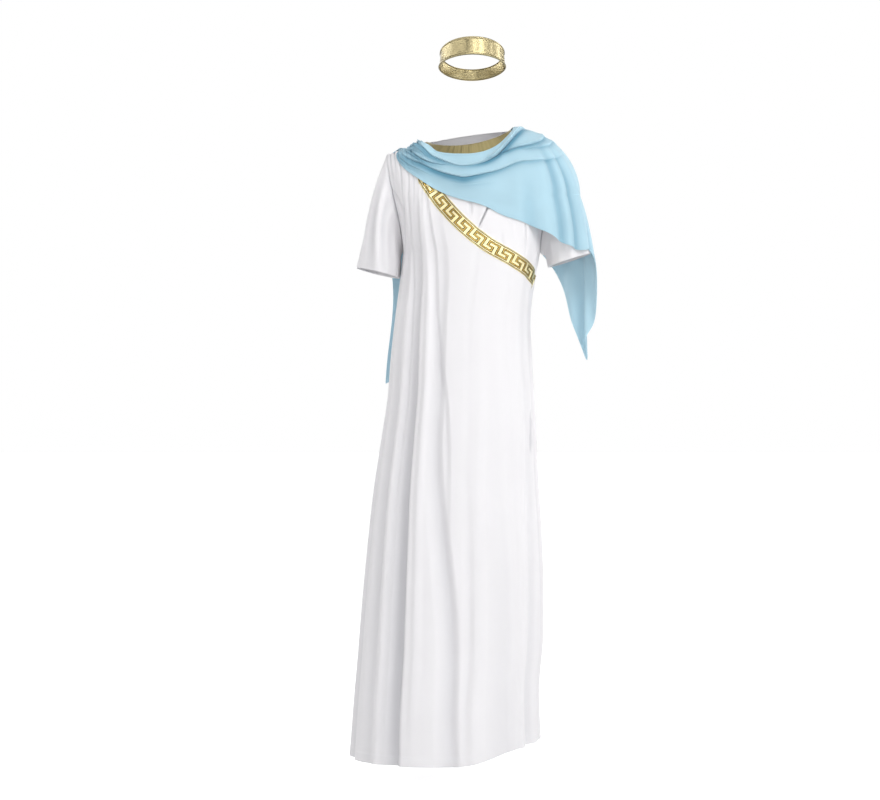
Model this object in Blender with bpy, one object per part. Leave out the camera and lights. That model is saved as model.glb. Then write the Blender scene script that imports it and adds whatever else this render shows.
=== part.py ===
"""A Greek priest's costume, filled out as it hangs in use: a long white tunic with short sleeves,
a gold neck band, a gold key-pattern trim across the chest, a blue drape gathered on the right shoulder,
and a gold headband. Metres, +Z up, the front faces -Y, and +X is the garment's left.
The origin is where the costume is held up, in the middle of the neck opening at shoulder height."""
import math

import bpy
import numpy as np
from mathutils import Vector
from mathutils.bvhtree import BVHTree

# Driving sizes of the cloth and its seams
CLOTH = 0.0012            # wall of the tunic, sleeves and drape
TRIM_CLOTH = 0.0012       # wall of the gold trim, neck band and headband
SEAM_GAP = 0.0005         # front panel to back panel
ARMHOLE_GAP = 0.0008      # sleeve to armhole
LAID_GAP = 0.0016         # the trim to the panel that it is sewn on
NECK_BAND_GAP = 0.0024    # the neck band to the panels, which bend more there
DRAPE_GAP = 0.0040        # drape to what it lies on
SEWN_GAP = 0.0007         # and at its gathered end, where it is sewn to the right shoulder

# Heights of the tunic
BODY_MIDDLE_Z = -0.30
ARMPIT_Z = -0.262
HEM_Z_RIGHT = -1.4385
HEM_Z_LEFT = -1.398
HEM_RISE_FROM_X = -0.05
HEM_RISE_WIDTH = 0.21

# Neck opening and shoulders, from the right to the left
NECK_RIGHT = (-0.106, 0.0, -0.002)
NECK_LEFT = (0.088, 0.0, 0.026)
NECK_FRONT_Y = -0.086
NECK_FRONT_DROP = 0.036
NECK_BACK_Y = 0.066
NECK_BACK_DROP = -0.010
SHOULDER_RIGHT = (-0.199, 0.0, -0.030)
SHOULDER_LEFT = (0.190, 0.0, -0.022)
NECK_CURVE = 1.25         # length of the neck opening's half over its width
NECK_SCOOP = 1.5          # how much of the neck opening's drop is near its middle
SLOPE_AT_NECK = math.radians(32)
SLOPE_SPREAD = 1.7        # how quickly that slope fades sideways

# The armhole bows forward (-1) and back (1) by these, and stays out until low down
ARMHOLE_BOW = {-1: 0.066, 1: 0.072}
ARMHOLE_HOLD = 2.2
ARMHOLE_REACH = 0.38

# Tunic sections: height, place of the right and left sides, front and back, and squareness
SECTION_COLUMNS = ("z", "right", "left", "front", "back", "square")
SECTIONS = (
    (-0.262, -0.162, 0.159, -0.132, 0.118, 2.5),
    (-0.320, -0.168, 0.149, -0.133, 0.113, 2.4),
    (-0.420, -0.181, 0.137, -0.134, 0.112, 2.4),
    (-0.510, -0.191, 0.140, -0.137, 0.118, 2.3),
    (-0.600, -0.198, 0.145, -0.141, 0.128, 2.3),
    (-0.700, -0.213, 0.151, -0.146, 0.138, 2.3),
    (-0.800, -0.229, 0.155, -0.150, 0.146, 2.3),
    (-0.950, -0.246, 0.164, -0.158, 0.158, 2.3),
    (-1.100, -0.260, 0.168, -0.167, 0.170, 2.3),
    (-1.200, -0.268, 0.167, -0.173, 0.178, 2.3),
    (-1.300, -0.277, 0.159, -0.179, 0.186, 2.3),
    (-1.460, -0.289, 0.162, -0.188, 0.198, 2.3),
)

# Hanging folds of the panels: place across the cloth (0 the right side seam, 1 the left) at the armpit
# and at the hem, half width in the same shares, depth at the armpit, the waist and the hem
# (a minus depth is a ridge)
FOLD_COLUMNS = ("top", "hem", "width", "depth_top", "depth_waist", "depth_hem")
FRONT_FOLDS = (
    (0.130, 0.135, 0.040, 0.000, 0.004, 0.016),
    (0.225, 0.190, 0.040, 0.000, -0.004, -0.012),
    (0.300, 0.285, 0.038, 0.006, 0.016, 0.030),
    (0.385, 0.345, 0.040, -0.003, -0.008, -0.010),
    (0.480, 0.420, 0.034, 0.003, 0.007, 0.009),
    (0.620, 0.560, 0.060, 0.000, 0.001, 0.011),
    (0.720, 0.690, 0.060, 0.000, -0.002, -0.009),
    (0.845, 0.800, 0.040, 0.002, 0.003, 0.014),
    (0.925, 0.925, 0.028, 0.002, 0.008, 0.004),
)
BACK_FOLDS = (
    (0.110, 0.110, 0.040, 0.000, 0.006, 0.018),
    (0.230, 0.215, 0.045, 0.000, -0.004, -0.010),
    (0.350, 0.330, 0.040, 0.003, 0.012, 0.026),
    (0.460, 0.450, 0.040, -0.002, -0.006, -0.010),
    (0.560, 0.570, 0.045, 0.003, 0.010, 0.022),
    (0.680, 0.700, 0.045, 0.000, -0.004, -0.010),
    (0.800, 0.820, 0.040, 0.002, 0.008, 0.020),
    (0.910, 0.915, 0.030, 0.000, 0.003, 0.006),
)
WAIST_Z = -0.55
FOLD_FADE = 0.12          # folds fade out this far above the armpit
FOLD_TAIL = 1.6           # how far a fold's soft edge reaches past its half width
CREASE_TAIL = 1.5         # the same for the drape's creases
HANGING_TAIL = 1.4        # the same for its hanging folds

# Gathers of the right shoulder
GATHERS = 6
GATHER_DEPTH = 0.0026
GATHER_REACH = 0.62       # share of the right shoulder seam, from its outer end
GATHER_EASE = 0.2         # share of that over which the gathers die out
GATHER_FADE = 0.95        # share of the way from shoulder to armpit

# Mesh counts of the panels
GATHER_STEPS = 2 * GATHERS
INNER_SHOULDER_STEPS = 3
NECK_STEPS = 14
LEFT_SHOULDER_STEPS = 8
ARMHOLE_ROWS = 11
FRONT_ROWS = 13
BACK_ROWS = 11

# Sleeves: cuff centre, half sizes, drop of the cuff's outer edge, and how far the cloth is thrown out
SLEEVES = {
    "sleeve_right": {"side": -1, "cuff": (-0.2205, 0.004, -0.309), "half": (0.0505, 0.076), "lift": 0.012},
    "sleeve_left": {"side": 1, "cuff": (0.2290, 0.004, -0.283), "half": (0.0500, 0.074), "lift": 0.021},
}
SLEEVE_STEPS_ROUND = 24
SLEEVE_ROWS = 7
SLEEVE_THROW_TOP = (0.35, -0.94, 0.26)      # out, up and length of the start at the shoulder
SLEEVE_THROW_FRONT = (0.62, -0.60, 0.17)
SLEEVE_THROW_UNDER = (0.60, -0.80, 0.05)
SLEEVE_HANG = (0.024, 0.0, -0.12)           # out, back and up at the cuff
SLEEVE_LEAN = 0.35                          # how far the front is thrown forward and the back back

# Neck band
NECK_BAND_WIDTH = 0.038
NECK_BAND_INSET = 0.0015  # from the neck opening's edge
NECK_BAND_FLARE = 0.55    # how fast it grows forward and back
NECK_BAND_FALL = (0.30, 0.75)   # how fast it falls at the sides, and how much faster at front and back
NECK_BAND_STEPS = 52
NECK_BAND_ROWS = 4

# Trim: its middle line on the front, from the right shoulder to the left side seam
TRIM_WIDTH = 0.036
TRIM_ROUTE_COLUMNS = ("x", "y", "z")
TRIM_ROUTE = (
    (-0.1185, -0.076, -0.078),
    (-0.110, -0.090, -0.095),
    (-0.096, -0.110, -0.118),
    (-0.070, -0.125, -0.155),
    (-0.026, -0.135, -0.203),
    (0.032, -0.135, -0.250),
    (0.092, -0.115, -0.284),
    (0.128, -0.080, -0.309),
    (0.142, -0.035, -0.334),
)
TRIM_STEPS = 44
TRIM_ROWS = 3

# The form that the drape lies on, by direction round the neck (0 the left, -90 the front):
# neck radius and height, radius and height where it turns to hang, and its slope outwards below that
FORM_COLUMNS = ("turn", "neck_r", "neck_z", "edge_r", "edge_z", "flare")
FORM = (
    (-180, 0.105, -0.002, 0.212, -0.130, 0.10),
    (-150, 0.098, -0.018, 0.176, -0.150, 0.06),
    (-120, 0.088, -0.036, 0.140, -0.170, 0.02),
    (-90, 0.086, -0.040, 0.130, -0.170, 0.02),
    (-60, 0.084, -0.026, 0.140, -0.170, 0.02),
    (-40, 0.084, -0.006, 0.164, -0.150, 0.20),
    (0, 0.088, 0.026, 0.247, -0.130, 0.385),
    (45, 0.080, 0.014, 0.174, -0.120, 0.25),
    (90, 0.070, 0.002, 0.127, -0.120, 0.05),
    (130, 0.084, 0.000, 0.160, -0.130, 0.04),
    (150, 0.100, 0.000, 0.212, -0.130, 0.10),
    (180, 0.105, -0.002, 0.212, -0.130, 0.10),
)
HANG_UNIT = 0.24          # metres of hanging cloth for each unit of the form's second coordinate
FLARE_REACH = 0.12        # how far down the flare goes on

# The drape, from its gathered front end round the left shoulder to its free edge behind the right one:
# share of its length, direction and place of its upper edge, direction and height of its hem
DRAPE_COLUMNS = ("share", "neck_turn", "neck_at", "hem_turn", "hem_z")
DRAPE = (
    (0.00, -178, 0.31, -176, -0.022),
    (0.07, -160, 0.20, -159, -0.064),
    (0.15, -134, 0.25, -134, -0.112),
    (0.24, -100, 0.22, -100, -0.149),
    (0.32, -70, 0.20, -72, -0.170),
    (0.40, -40, 0.14, -42, -0.202),
    (0.47, -12, 0.05, -16, -0.246),
    (0.515, 4, 0.03, -4, -0.263),
    (0.555, 16, 0.04, 7, -0.418),
    (0.580, 23, 0.046, 12, -0.478),
    (0.596, 28, 0.05, 14.5, -0.512),
    (0.615, 34, 0.056, 19, -0.438),
    (0.645, 43, 0.070, 28, -0.322),
    (0.670, 49, 0.082, 34, -0.264),
    (0.700, 57, 0.095, 43, -0.240),
    (0.740, 70, 0.110, 58, -0.270),
    (0.78, 82, 0.13, 72, -0.330),
    (0.85, 108, 0.18, 96, -0.440),
    (0.92, 138, 0.26, 123, -0.520),
    (1.00, 172, 0.36, 150, -0.568),
)
DRAPE_SWING = 4           # how early the cloth turns from its neck direction to its hem direction
DRAPE_STEPS = 54
DRAPE_ROWS = 15

# Creases that run along the drape: where each is across the cloth at five places along it, then depth,
# half width, and where it starts and ends
CREASE_PLACES = (0.0, 0.15, 0.24, 0.34, 0.47)
CREASE_COLUMNS = ("at_0", "at_1", "at_2", "at_3", "at_4", "depth", "width", "start", "end")
FRONT_CREASES = (
    (0.22, 0.26, 0.29, 0.24, 0.12, 0.0070, 0.060, 0.00, 0.50),
    (0.45, 0.48, 0.52, 0.44, 0.30, 0.0060, 0.060, 0.00, 0.44),
    (0.64, 0.66, 0.70, 0.72, 0.72, 0.0035, 0.060, 0.00, 0.20),
    (0.84, 0.82, 0.84, 0.86, 0.86, 0.0025, 0.060, 0.00, 0.13),
    (0.70, 0.72, 0.74, 0.66, 0.55, 0.0030, 0.110, 0.22, 0.38),
)
# The same behind, read from the free edge back to the left shoulder
BACK_CREASES = (
    (0.06, 0.10, 0.12, 0.12, 0.12, 0.0060, 0.040, 0.00, 0.50),
    (0.16, 0.24, 0.30, 0.34, 0.36, 0.0070, 0.060, 0.00, 0.40),
    (0.34, 0.42, 0.50, 0.56, 0.60, 0.0060, 0.070, 0.00, 0.34),
)
# Folds that hang down the drape: place along it, half width, depth, and where down the cloth it starts
HANGING_COLUMNS = ("share", "width", "depth", "from_row")
HANGING_FOLDS = (
    (0.418, 0.012, 0.005, 0.40),
    (0.458, 0.012, 0.007, 0.30),
    (0.512, 0.011, 0.012, 0.45),
    (0.574, 0.012, 0.014, 0.40),
    (0.620, 0.014, 0.014, 0.30),
    (0.672, 0.018, 0.014, 0.35),
    (0.745, 0.020, 0.016, 0.30),
    (0.820, 0.020, 0.014, 0.35),
    (0.888, 0.018, 0.014, 0.30),
    (0.948, 0.014, 0.010, 0.35),
)
DRAPE_LOFT = 0.0075       # height of the ridges between the creases
DRAPE_SEARCH = 0.12       # how far out and in from its form the drape looks for what it lies on
DRAPE_SOFTENINGS = 2
DRAPE_RISE = 0.6          # share of its loft that it keeps where it is pushed out
SEWN_SHARE = 0.045        # share of the drape over which it comes down to its sewn end
CREASE_START = 0.06       # share of the drape over which a crease begins
CREASE_END = 0.09         # and over which it dies out
FORM_INSIDE = (0.0, 0.0, -0.30)

# Headband: middle, half sizes, heights in front and behind, and how far the front is tipped up
BAND_MIDDLE = (0.0, -0.026, 0.186)
BAND_HALF = (0.0795, 0.098)
BAND_HEIGHT_FRONT = 0.043
BAND_HEIGHT_BACK = 0.027
BAND_TIP = 0.20
BAND_TAPER = 0.0035       # how much smaller the upper edge is
BAND_STEPS = 48
BAND_ROWS = 2


def column(rows, names, name):
    """One named column of a table."""
    return np.array([row[names.index(name)] for row in rows], float)


def smooth(at, knots, values):
    """A smooth curve through the values at the knots, read at other places."""
    knots = np.asarray(knots, float)
    values = np.asarray(values, float)
    slopes = np.gradient(values, knots)
    at = np.clip(at, knots[0], knots[-1])
    i = np.clip(np.searchsorted(knots, at) - 1, 0, len(knots) - 2)
    span = knots[i + 1] - knots[i]
    s = (at - knots[i]) / span
    start = (1 + 2 * s) * (1 - s) ** 2 * values[i] + s * (1 - s) ** 2 * span * slopes[i]
    end = s * s * (3 - 2 * s) * values[i + 1] + s * s * (s - 1) * span * slopes[i + 1]
    return start + end


def ease(x):
    """0 below 0, 1 above 1, and smooth between."""
    x = np.clip(x, 0, 1)
    return x * x * (3 - 2 * x)


def bump(x):
    """A soft hump, 1 in its middle and 0 from 1 outwards."""
    x = np.clip(np.abs(x), 0, 1)
    return (1 - x * x) ** 2


def normals_of(grid, outward):
    """Unit normals of a grid of points, turned as a whole to the side that outward says."""
    along = np.gradient(grid, axis=1)
    down = np.gradient(grid, axis=0)
    normal = np.cross(along, down)
    normal /= np.linalg.norm(normal, axis=2, keepdims=True)
    return normal * (1 if (normal * outward).sum() > 0 else -1)


def kept_in_plane(normal, axis):
    """Normals with no part along an axis, so that a cloth's edge ends square at its seam."""
    flat = normal.copy()
    flat[..., axis] = 0
    return flat / np.linalg.norm(flat, axis=-1, keepdims=True)


def material(name, colour, roughness, metallic=0.0):
    """A plain finish with the cloth's colour."""
    made = bpy.data.materials.new(name)
    made.use_nodes = True
    surface = made.node_tree.nodes["Principled BSDF"]
    surface.inputs["Base Color"].default_value = (*colour, 1.0)
    surface.inputs["Roughness"].default_value = roughness
    surface.inputs["Metallic"].default_value = metallic
    return made


def wall(name, outer, inner, finish, closed=False):
    """A closed wall of cloth between two grids of points. A closed one joins its last column to its first."""
    rows, columns = outer.shape[:2]
    points = np.concatenate([outer.reshape(-1, 3), inner.reshape(-1, 3)])
    offset = rows * columns
    last = columns if closed else columns - 1
    faces = []
    for r in range(rows - 1):
        for c in range(last):
            a, b = r * columns + c, r * columns + (c + 1) % columns
            d, e = a + columns, b + columns
            faces.append((a, b, e, d))
            faces.append((offset + a, offset + d, offset + e, offset + b))
    for c in range(last):
        a, b = c, (c + 1) % columns
        faces.append((a, offset + a, offset + b, b))
        a, b = a + (rows - 1) * columns, b + (rows - 1) * columns
        faces.append((a, b, offset + b, offset + a))
    if not closed:
        for r in range(rows - 1):
            a, d = r * columns, (r + 1) * columns
            faces.append((a, d, offset + d, offset + a))
            a, d = a + columns - 1, d + columns - 1
            faces.append((a, offset + a, offset + d, d))
    mesh = bpy.data.meshes.new(name)
    mesh.from_pydata([tuple(p) for p in points], [], faces)
    made = bpy.data.objects.new(name, mesh)
    bpy.context.scene.collection.objects.link(made)
    mesh.materials.append(finish)
    face_outwards(mesh)
    mesh.shade_smooth()
    mesh.set_sharp_from_angle(angle=math.radians(50))
    return made


def face_outwards(mesh):
    """Turns the whole shell round if it encloses a negative volume."""
    mesh.calc_loop_triangles()
    volume = 0.0
    for t in mesh.loop_triangles:
        a, b, c = (mesh.vertices[i].co for i in t.vertices)
        volume += a.dot(b.cross(c))
    if volume < 0:
        mesh.flip_normals()


def tree_of(*grids):
    """A search tree over the faces of one or more grids of points."""
    points, faces = [], []
    for grid in grids:
        rows, columns = grid.shape[:2]
        start = len(points)
        points += [Vector(p) for p in grid.reshape(-1, 3)]
        for r in range(rows - 1):
            for c in range(columns - 1):
                a = start + r * columns + c
                faces.append((a, a + 1, a + 1 + columns))
                faces.append((a, a + 1 + columns, a + columns))
    return BVHTree.FromPolygons(points, faces)


def section(z):
    """The tunic's section at a height: right, left, front, back, squareness."""
    heights = -column(SECTIONS, SECTION_COLUMNS, "z")
    return [
        float(smooth(-z, heights, column(SECTIONS, SECTION_COLUMNS, name)))
        for name in SECTION_COLUMNS[1:]
    ]


def across(z, side, shares):
    """Points across the front (side -1) or the back (side 1) at a height, at shares of the cloth's width."""
    right, left, front, back, square = section(z)
    middle_y = (front + back) / 2
    depth = (back - front) / 2
    angle = np.linspace(math.pi, 0, 241)
    cos, sin = np.cos(angle), np.sin(angle)
    x = (left + right) / 2 + (left - right) / 2 * np.sign(cos) * np.abs(cos) ** (2 / square)
    y = middle_y + side * depth * np.abs(sin) ** (2 / square)
    run = np.concatenate([[0], np.cumsum(np.hypot(np.diff(x), np.diff(y)))])
    at = np.asarray(shares) * run[-1]
    return np.interp(at, run, x), np.interp(at, run, y)


def top_edge(side, shares):
    """The upper edge of a panel: right shoulder seam, neck opening, left shoulder seam."""
    neck_y, drop = (NECK_FRONT_Y, NECK_FRONT_DROP) if side < 0 else (NECK_BACK_Y, NECK_BACK_DROP)
    turn = np.linspace(0, math.pi, 61)
    right, left = np.array(NECK_RIGHT), np.array(NECK_LEFT)
    mix = ((1 - np.cos(turn)) / 2)[:, None]
    neck = right * (1 - mix) + left * mix
    neck[:, 1] += neck_y * np.sin(turn)
    neck[:, 2] -= drop * np.sin(turn) ** NECK_SCOOP
    seam = np.linspace(0, 1, 13)[:, None]
    right_seam = np.array(SHOULDER_RIGHT) * (1 - seam) + right * seam
    left_seam = left * (1 - seam) + np.array(SHOULDER_LEFT) * seam
    parts = (right_seam, neck, left_seam)
    knots = (0, SHARE_NECK_RIGHT, SHARE_NECK_LEFT, 1)
    at = np.concatenate([np.linspace(knots[i], knots[i + 1], len(p)) for i, p in enumerate(parts)])
    line = np.concatenate(parts)
    return np.stack([np.interp(shares, at, line[:, k]) for k in range(3)], axis=1)


def neck_shares():
    """Where the neck opening starts and ends along a panel's upper edge, as shares of its length."""
    right = math.dist(SHOULDER_RIGHT, NECK_RIGHT)
    left = math.dist(NECK_LEFT, SHOULDER_LEFT)
    neck = math.dist(NECK_RIGHT, NECK_LEFT) * NECK_CURVE
    whole = right + neck + left
    return right / whole, 1 - left / whole


SHARE_NECK_RIGHT, SHARE_NECK_LEFT = neck_shares()


def upper_rows(side, shares, rows):
    """A panel from the shoulder and neck down to the armpit's height."""
    top = top_edge(side, shares)
    x, y = across(ARMPIT_Z, side, shares)
    neck_middle = (SHARE_NECK_RIGHT + SHARE_NECK_LEFT) / 2
    neck_width = SHARE_NECK_LEFT - SHARE_NECK_RIGHT
    start = SLOPE_AT_NECK * bump((shares - neck_middle) / neck_width * SLOPE_SPREAD)
    near_side = bump(shares / ARMHOLE_REACH) + bump((1 - shares) / ARMHOLE_REACH)
    grid = []
    for t in np.linspace(0, 1, rows):
        angle = start + (math.pi / 2 - start) * t
        forward = (np.sin(angle) - np.sin(start)) / (1 - np.sin(start))
        fall = np.cos(angle) / np.cos(start)
        inward = t * (1 - near_side) + ease(t) ** ARMHOLE_HOLD * near_side
        px = top[:, 0] + (x - top[:, 0]) * inward
        py = top[:, 1] + (y - top[:, 1]) * forward + side * ARMHOLE_BOW[side] * near_side * math.sin(math.pi * t)
        pz = ARMPIT_Z + (top[:, 2] - ARMPIT_Z) * fall
        grid.append(np.stack([px, py, pz], axis=1))
    return np.array(grid)


def hem_height(x):
    """The hem is level on the right and rises to the left."""
    return HEM_Z_RIGHT + (HEM_Z_LEFT - HEM_Z_RIGHT) * ease((x - HEM_RISE_FROM_X) / HEM_RISE_WIDTH)


def lower_rows(side, shares, rows):
    """A panel from the armpit's height to the hem."""
    hem_x, _ = across(HEM_Z_RIGHT, side, shares)
    hem = hem_height(hem_x)
    grid = []
    for t in np.linspace(0, 1, rows)[1:]:
        z = ARMPIT_Z + (hem - ARMPIT_Z) * t
        level = ARMPIT_Z + (HEM_Z_RIGHT - ARMPIT_Z) * t
        x, y = across(level, side, shares)
        grid.append(np.stack([x, y, z], axis=1))
    return np.array(grid)


def fold_depths(grid, shares, folds):
    """How deep the hanging folds are at each point of a panel."""
    z = grid[:, :, 2]
    down = np.clip((ARMPIT_Z - z) / (ARMPIT_Z - HEM_Z_RIGHT), 0, 1)
    waist = (ARMPIT_Z - WAIST_Z) / (ARMPIT_Z - HEM_Z_RIGHT)
    above = ease((z - ARMPIT_Z) / FOLD_FADE)
    depth = np.zeros(z.shape)
    for row in folds:
        fold = dict(zip(FOLD_COLUMNS, row))
        middle = fold["top"] + (fold["hem"] - fold["top"]) * down
        size = smooth(down, (0, waist, 1), [fold["depth_top"], fold["depth_waist"], fold["depth_hem"]])
        depth += size * (1 - above) * bump((shares[None, :] - middle) / (fold["width"] * FOLD_TAIL))
    return depth


def gather_heights(shares, rows_t):
    """The small pleats that fan down from the right shoulder seam."""
    along = shares / SHARE_NECK_RIGHT / GATHER_REACH
    wave = np.cos(2 * math.pi * along * GATHERS) * (1 - ease((along - 1 + GATHER_EASE) / GATHER_EASE))
    fade = 1 - ease(rows_t / GATHER_FADE)
    return GATHER_DEPTH * fade[:, None] * wave[None, :]


def panel(side, rows, folds):
    """Outer points of the front (side -1) or the back (side 1) of the tunic, with its shares."""
    shares = np.concatenate([
        np.linspace(0, SHARE_NECK_RIGHT * GATHER_REACH, GATHER_STEPS + 1),
        np.linspace(SHARE_NECK_RIGHT * GATHER_REACH, SHARE_NECK_RIGHT, INNER_SHOULDER_STEPS + 1)[1:],
        np.linspace(SHARE_NECK_RIGHT, SHARE_NECK_LEFT, NECK_STEPS + 1)[1:],
        np.linspace(SHARE_NECK_LEFT, 1, LEFT_SHOULDER_STEPS + 1)[1:],
    ])
    upper = upper_rows(side, shares, ARMHOLE_ROWS)
    grid = np.concatenate([upper, lower_rows(side, shares, rows)])
    outward = np.array([0, side, 0])
    normal = normals_of(grid, outward)
    heights = -fold_depths(grid, shares, folds)
    rows_t = np.concatenate([np.linspace(0, 1, ARMHOLE_ROWS), np.ones(rows - 1)])
    heights += gather_heights(shares, rows_t)
    grid = grid + normal * heights[:, :, None]
    at_shoulder = (shares <= SHARE_NECK_RIGHT) | (shares >= SHARE_NECK_LEFT)
    grid[0, at_shoulder, 1] = 0
    grid[:, :, 1] += side * SEAM_GAP / 2
    normal = normals_of(grid, outward)
    normal[0, at_shoulder] = kept_in_plane(normal[0, at_shoulder], 1)
    normal[ARMHOLE_ROWS - 1:, [0, -1]] = kept_in_plane(normal[ARMHOLE_ROWS - 1:, [0, -1]], 1)
    return grid, normal


def armhole(front, back, side):
    """The armhole's edge, from the shoulder down the front to the armpit and up the back."""
    edge = 0 if side < 0 else -1
    down = front[:ARMHOLE_ROWS, edge]
    up = back[:ARMHOLE_ROWS, edge][::-1]
    ring = np.concatenate([down, up[1:-1]])
    run = np.concatenate([[0], np.cumsum(np.linalg.norm(np.diff(ring, axis=0), axis=1))])
    closing = np.linalg.norm(ring[0] - ring[-1])
    at = np.linspace(0, run[-1] + closing, SLEEVE_STEPS_ROUND, endpoint=False)
    closed = np.concatenate([ring, ring[:1]])
    run = np.append(run, run[-1] + closing)
    return np.stack([np.interp(at, run, closed[:, k]) for k in range(3)], axis=1), at / run[-1]


def throw(share, side):
    """The direction and strength with which the sleeve leaves the armhole, by the share of the way round."""
    places = (0, 0.25, 0.5, 0.75, 1)
    keys = (SLEEVE_THROW_TOP, SLEEVE_THROW_FRONT, SLEEVE_THROW_UNDER, SLEEVE_THROW_FRONT, SLEEVE_THROW_TOP)
    out, up, length = (smooth(share, places, [k[i] for k in keys]) for i in range(3))
    forward = -SLEEVE_LEAN * np.sin(2 * math.pi * share)
    vector = np.stack([side * out, forward, up], axis=1)
    return vector / np.linalg.norm(vector, axis=1, keepdims=True) * length[:, None]


def sleeve(front, back, facts):
    """Outer points of a sleeve, from the armhole to the cuff."""
    side = facts["side"]
    root, share = armhole(front, back, side)
    root = root + np.array([side * ARMHOLE_GAP, 0, 0])
    angle = 2 * math.pi * share
    cx, cy, cz = facts["cuff"]
    hx, hy = facts["half"]
    cuff = np.stack([
        cx + side * hx * np.cos(angle),
        cy - hy * np.sin(angle),
        cz + facts["lift"] * np.cos(angle),
    ], axis=1)
    leave = throw(share, side)
    arrive = np.array(SLEEVE_HANG) * (side, 1, 1)
    grid = []
    for t in np.linspace(0, 1, SLEEVE_ROWS):
        grid.append(
            (2 * t**3 - 3 * t**2 + 1) * root + (t**3 - 2 * t**2 + t) * leave
            + (3 * t**2 - 2 * t**3) * cuff + (t**3 - t**2) * arrive
        )
    return np.array(grid)


def ring_normals(grid):
    """Outward normals of a grid whose columns close round a hollow."""
    wrapped = np.concatenate([grid[:, -1:], grid, grid[:, :1]], axis=1)
    outward = wrapped - wrapped.mean(axis=1, keepdims=True)
    return normals_of(wrapped, outward)[:, 1:-1]


def laid_on(tree, grid, gap, closed=False):
    """A grid moved on to the nearest places of a panel and then out by a gap, and its normals."""
    places, normals = np.zeros(grid.shape), np.zeros(grid.shape)
    for index in np.ndindex(grid.shape[:2]):
        place, normal, _, _ = tree.find_nearest(Vector(grid[index]))
        x, y, z = grid[index]
        if normal.dot(Vector((x, y, max(z - BODY_MIDDLE_Z, 0.0)))) < 0:
            normal = -normal
        places[index], normals[index] = place, normal
    even = evened(normals, closed)
    facing = (even * normals).sum(axis=2, keepdims=True)
    return places + even * gap / np.maximum(facing, 0.5), even


def evened(normals, closed):
    """Normals averaged with their neighbours along the grid."""
    padded = np.pad(normals, ((1, 1), (0, 0), (0, 0)), mode="edge")
    padded = np.pad(padded, ((0, 0), (1, 1), (0, 0)), mode="wrap" if closed else "edge")
    total = padded[1:-1, 1:-1] * 2 + padded[:-2, 1:-1] + padded[2:, 1:-1] + padded[1:-1, :-2] + padded[1:-1, 2:]
    return total / np.linalg.norm(total, axis=2, keepdims=True)


def neck_band(tree):
    """The gold band round the neck opening: inner and outer edge laid on the panels."""
    turn = np.linspace(0, 2 * math.pi, NECK_BAND_STEPS, endpoint=False)
    middle = (np.array(NECK_RIGHT) + np.array(NECK_LEFT)) / 2
    half = (NECK_LEFT[0] - NECK_RIGHT[0]) / 2
    sin, cos = np.sin(turn), np.cos(turn)
    front = sin < 0
    depth = np.where(front, -NECK_FRONT_Y, NECK_BACK_Y)
    drop = np.where(front, NECK_FRONT_DROP, NECK_BACK_DROP)
    tilt = (NECK_LEFT[2] - NECK_RIGHT[2]) / 2
    grid = []
    side_fall, more_fall = NECK_BAND_FALL
    for out in np.linspace(NECK_BAND_INSET, NECK_BAND_WIDTH, NECK_BAND_ROWS + 1):
        fall = drop * np.abs(sin) ** NECK_SCOOP + out * (side_fall + more_fall * np.abs(sin))
        grid.append(np.stack([
            middle[0] + (half + out) * cos,
            (depth + out * NECK_BAND_FLARE) * sin,
            middle[2] + tilt * cos - fall,
        ], axis=1))
    return laid_on(tree, np.array(grid), NECK_BAND_GAP, closed=True)


def trim(tree):
    """The gold trim, laid on the front along its route."""
    route = np.array(TRIM_ROUTE, float)
    run = np.concatenate([[0], np.cumsum(np.linalg.norm(np.diff(route, axis=0), axis=1))])
    at = np.linspace(0, run[-1], TRIM_STEPS + 1)
    line = np.stack([smooth(at, run, route[:, k]) for k in range(3)], axis=1)
    line, normal = (found[0] for found in laid_on(tree, line[None], 0.0))
    along = np.gradient(line, axis=0)
    sideways = np.cross(normal, along)
    sideways /= np.linalg.norm(sideways, axis=1, keepdims=True)
    grid = np.array([line + sideways * w for w in np.linspace(-0.5, 0.5, TRIM_ROWS + 1) * TRIM_WIDTH])
    return laid_on(tree, grid, LAID_GAP)


def form(turn, at):
    """A point of the form that the drape lies on, from the direction round the neck and the way down."""
    table = {name: column(FORM, FORM_COLUMNS, name) for name in FORM_COLUMNS}
    keys = np.concatenate([table["turn"] - 360, table["turn"][1:], table["turn"][1:] + 360])
    read = {}
    for name in FORM_COLUMNS[1:]:
        values = table[name]
        read[name] = smooth(turn, keys, np.concatenate([values, values[1:], values[1:]]))
    angle = np.clip(at, 0, 1) * math.pi / 2
    hanging = np.maximum(at - 1, 0) * HANG_UNIT
    spread = FLARE_REACH * (1 - np.exp(-hanging / FLARE_REACH))
    radius = read["neck_r"] + (read["edge_r"] - read["neck_r"]) * np.sin(angle) + read["flare"] * spread
    height = read["edge_z"] + (read["neck_z"] - read["edge_z"]) * np.cos(angle) - hanging
    round_neck = np.radians(turn)
    return np.stack([radius * np.cos(round_neck), radius * np.sin(round_neck), height], axis=-1)


def way_down_to(turn, height):
    """How far down the form a height is, in a direction."""
    places = np.linspace(0, 4, 801)
    z = form(np.full(places.shape, float(turn)), places)[:, 2]
    return float(np.interp(-height, -z, places))


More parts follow.
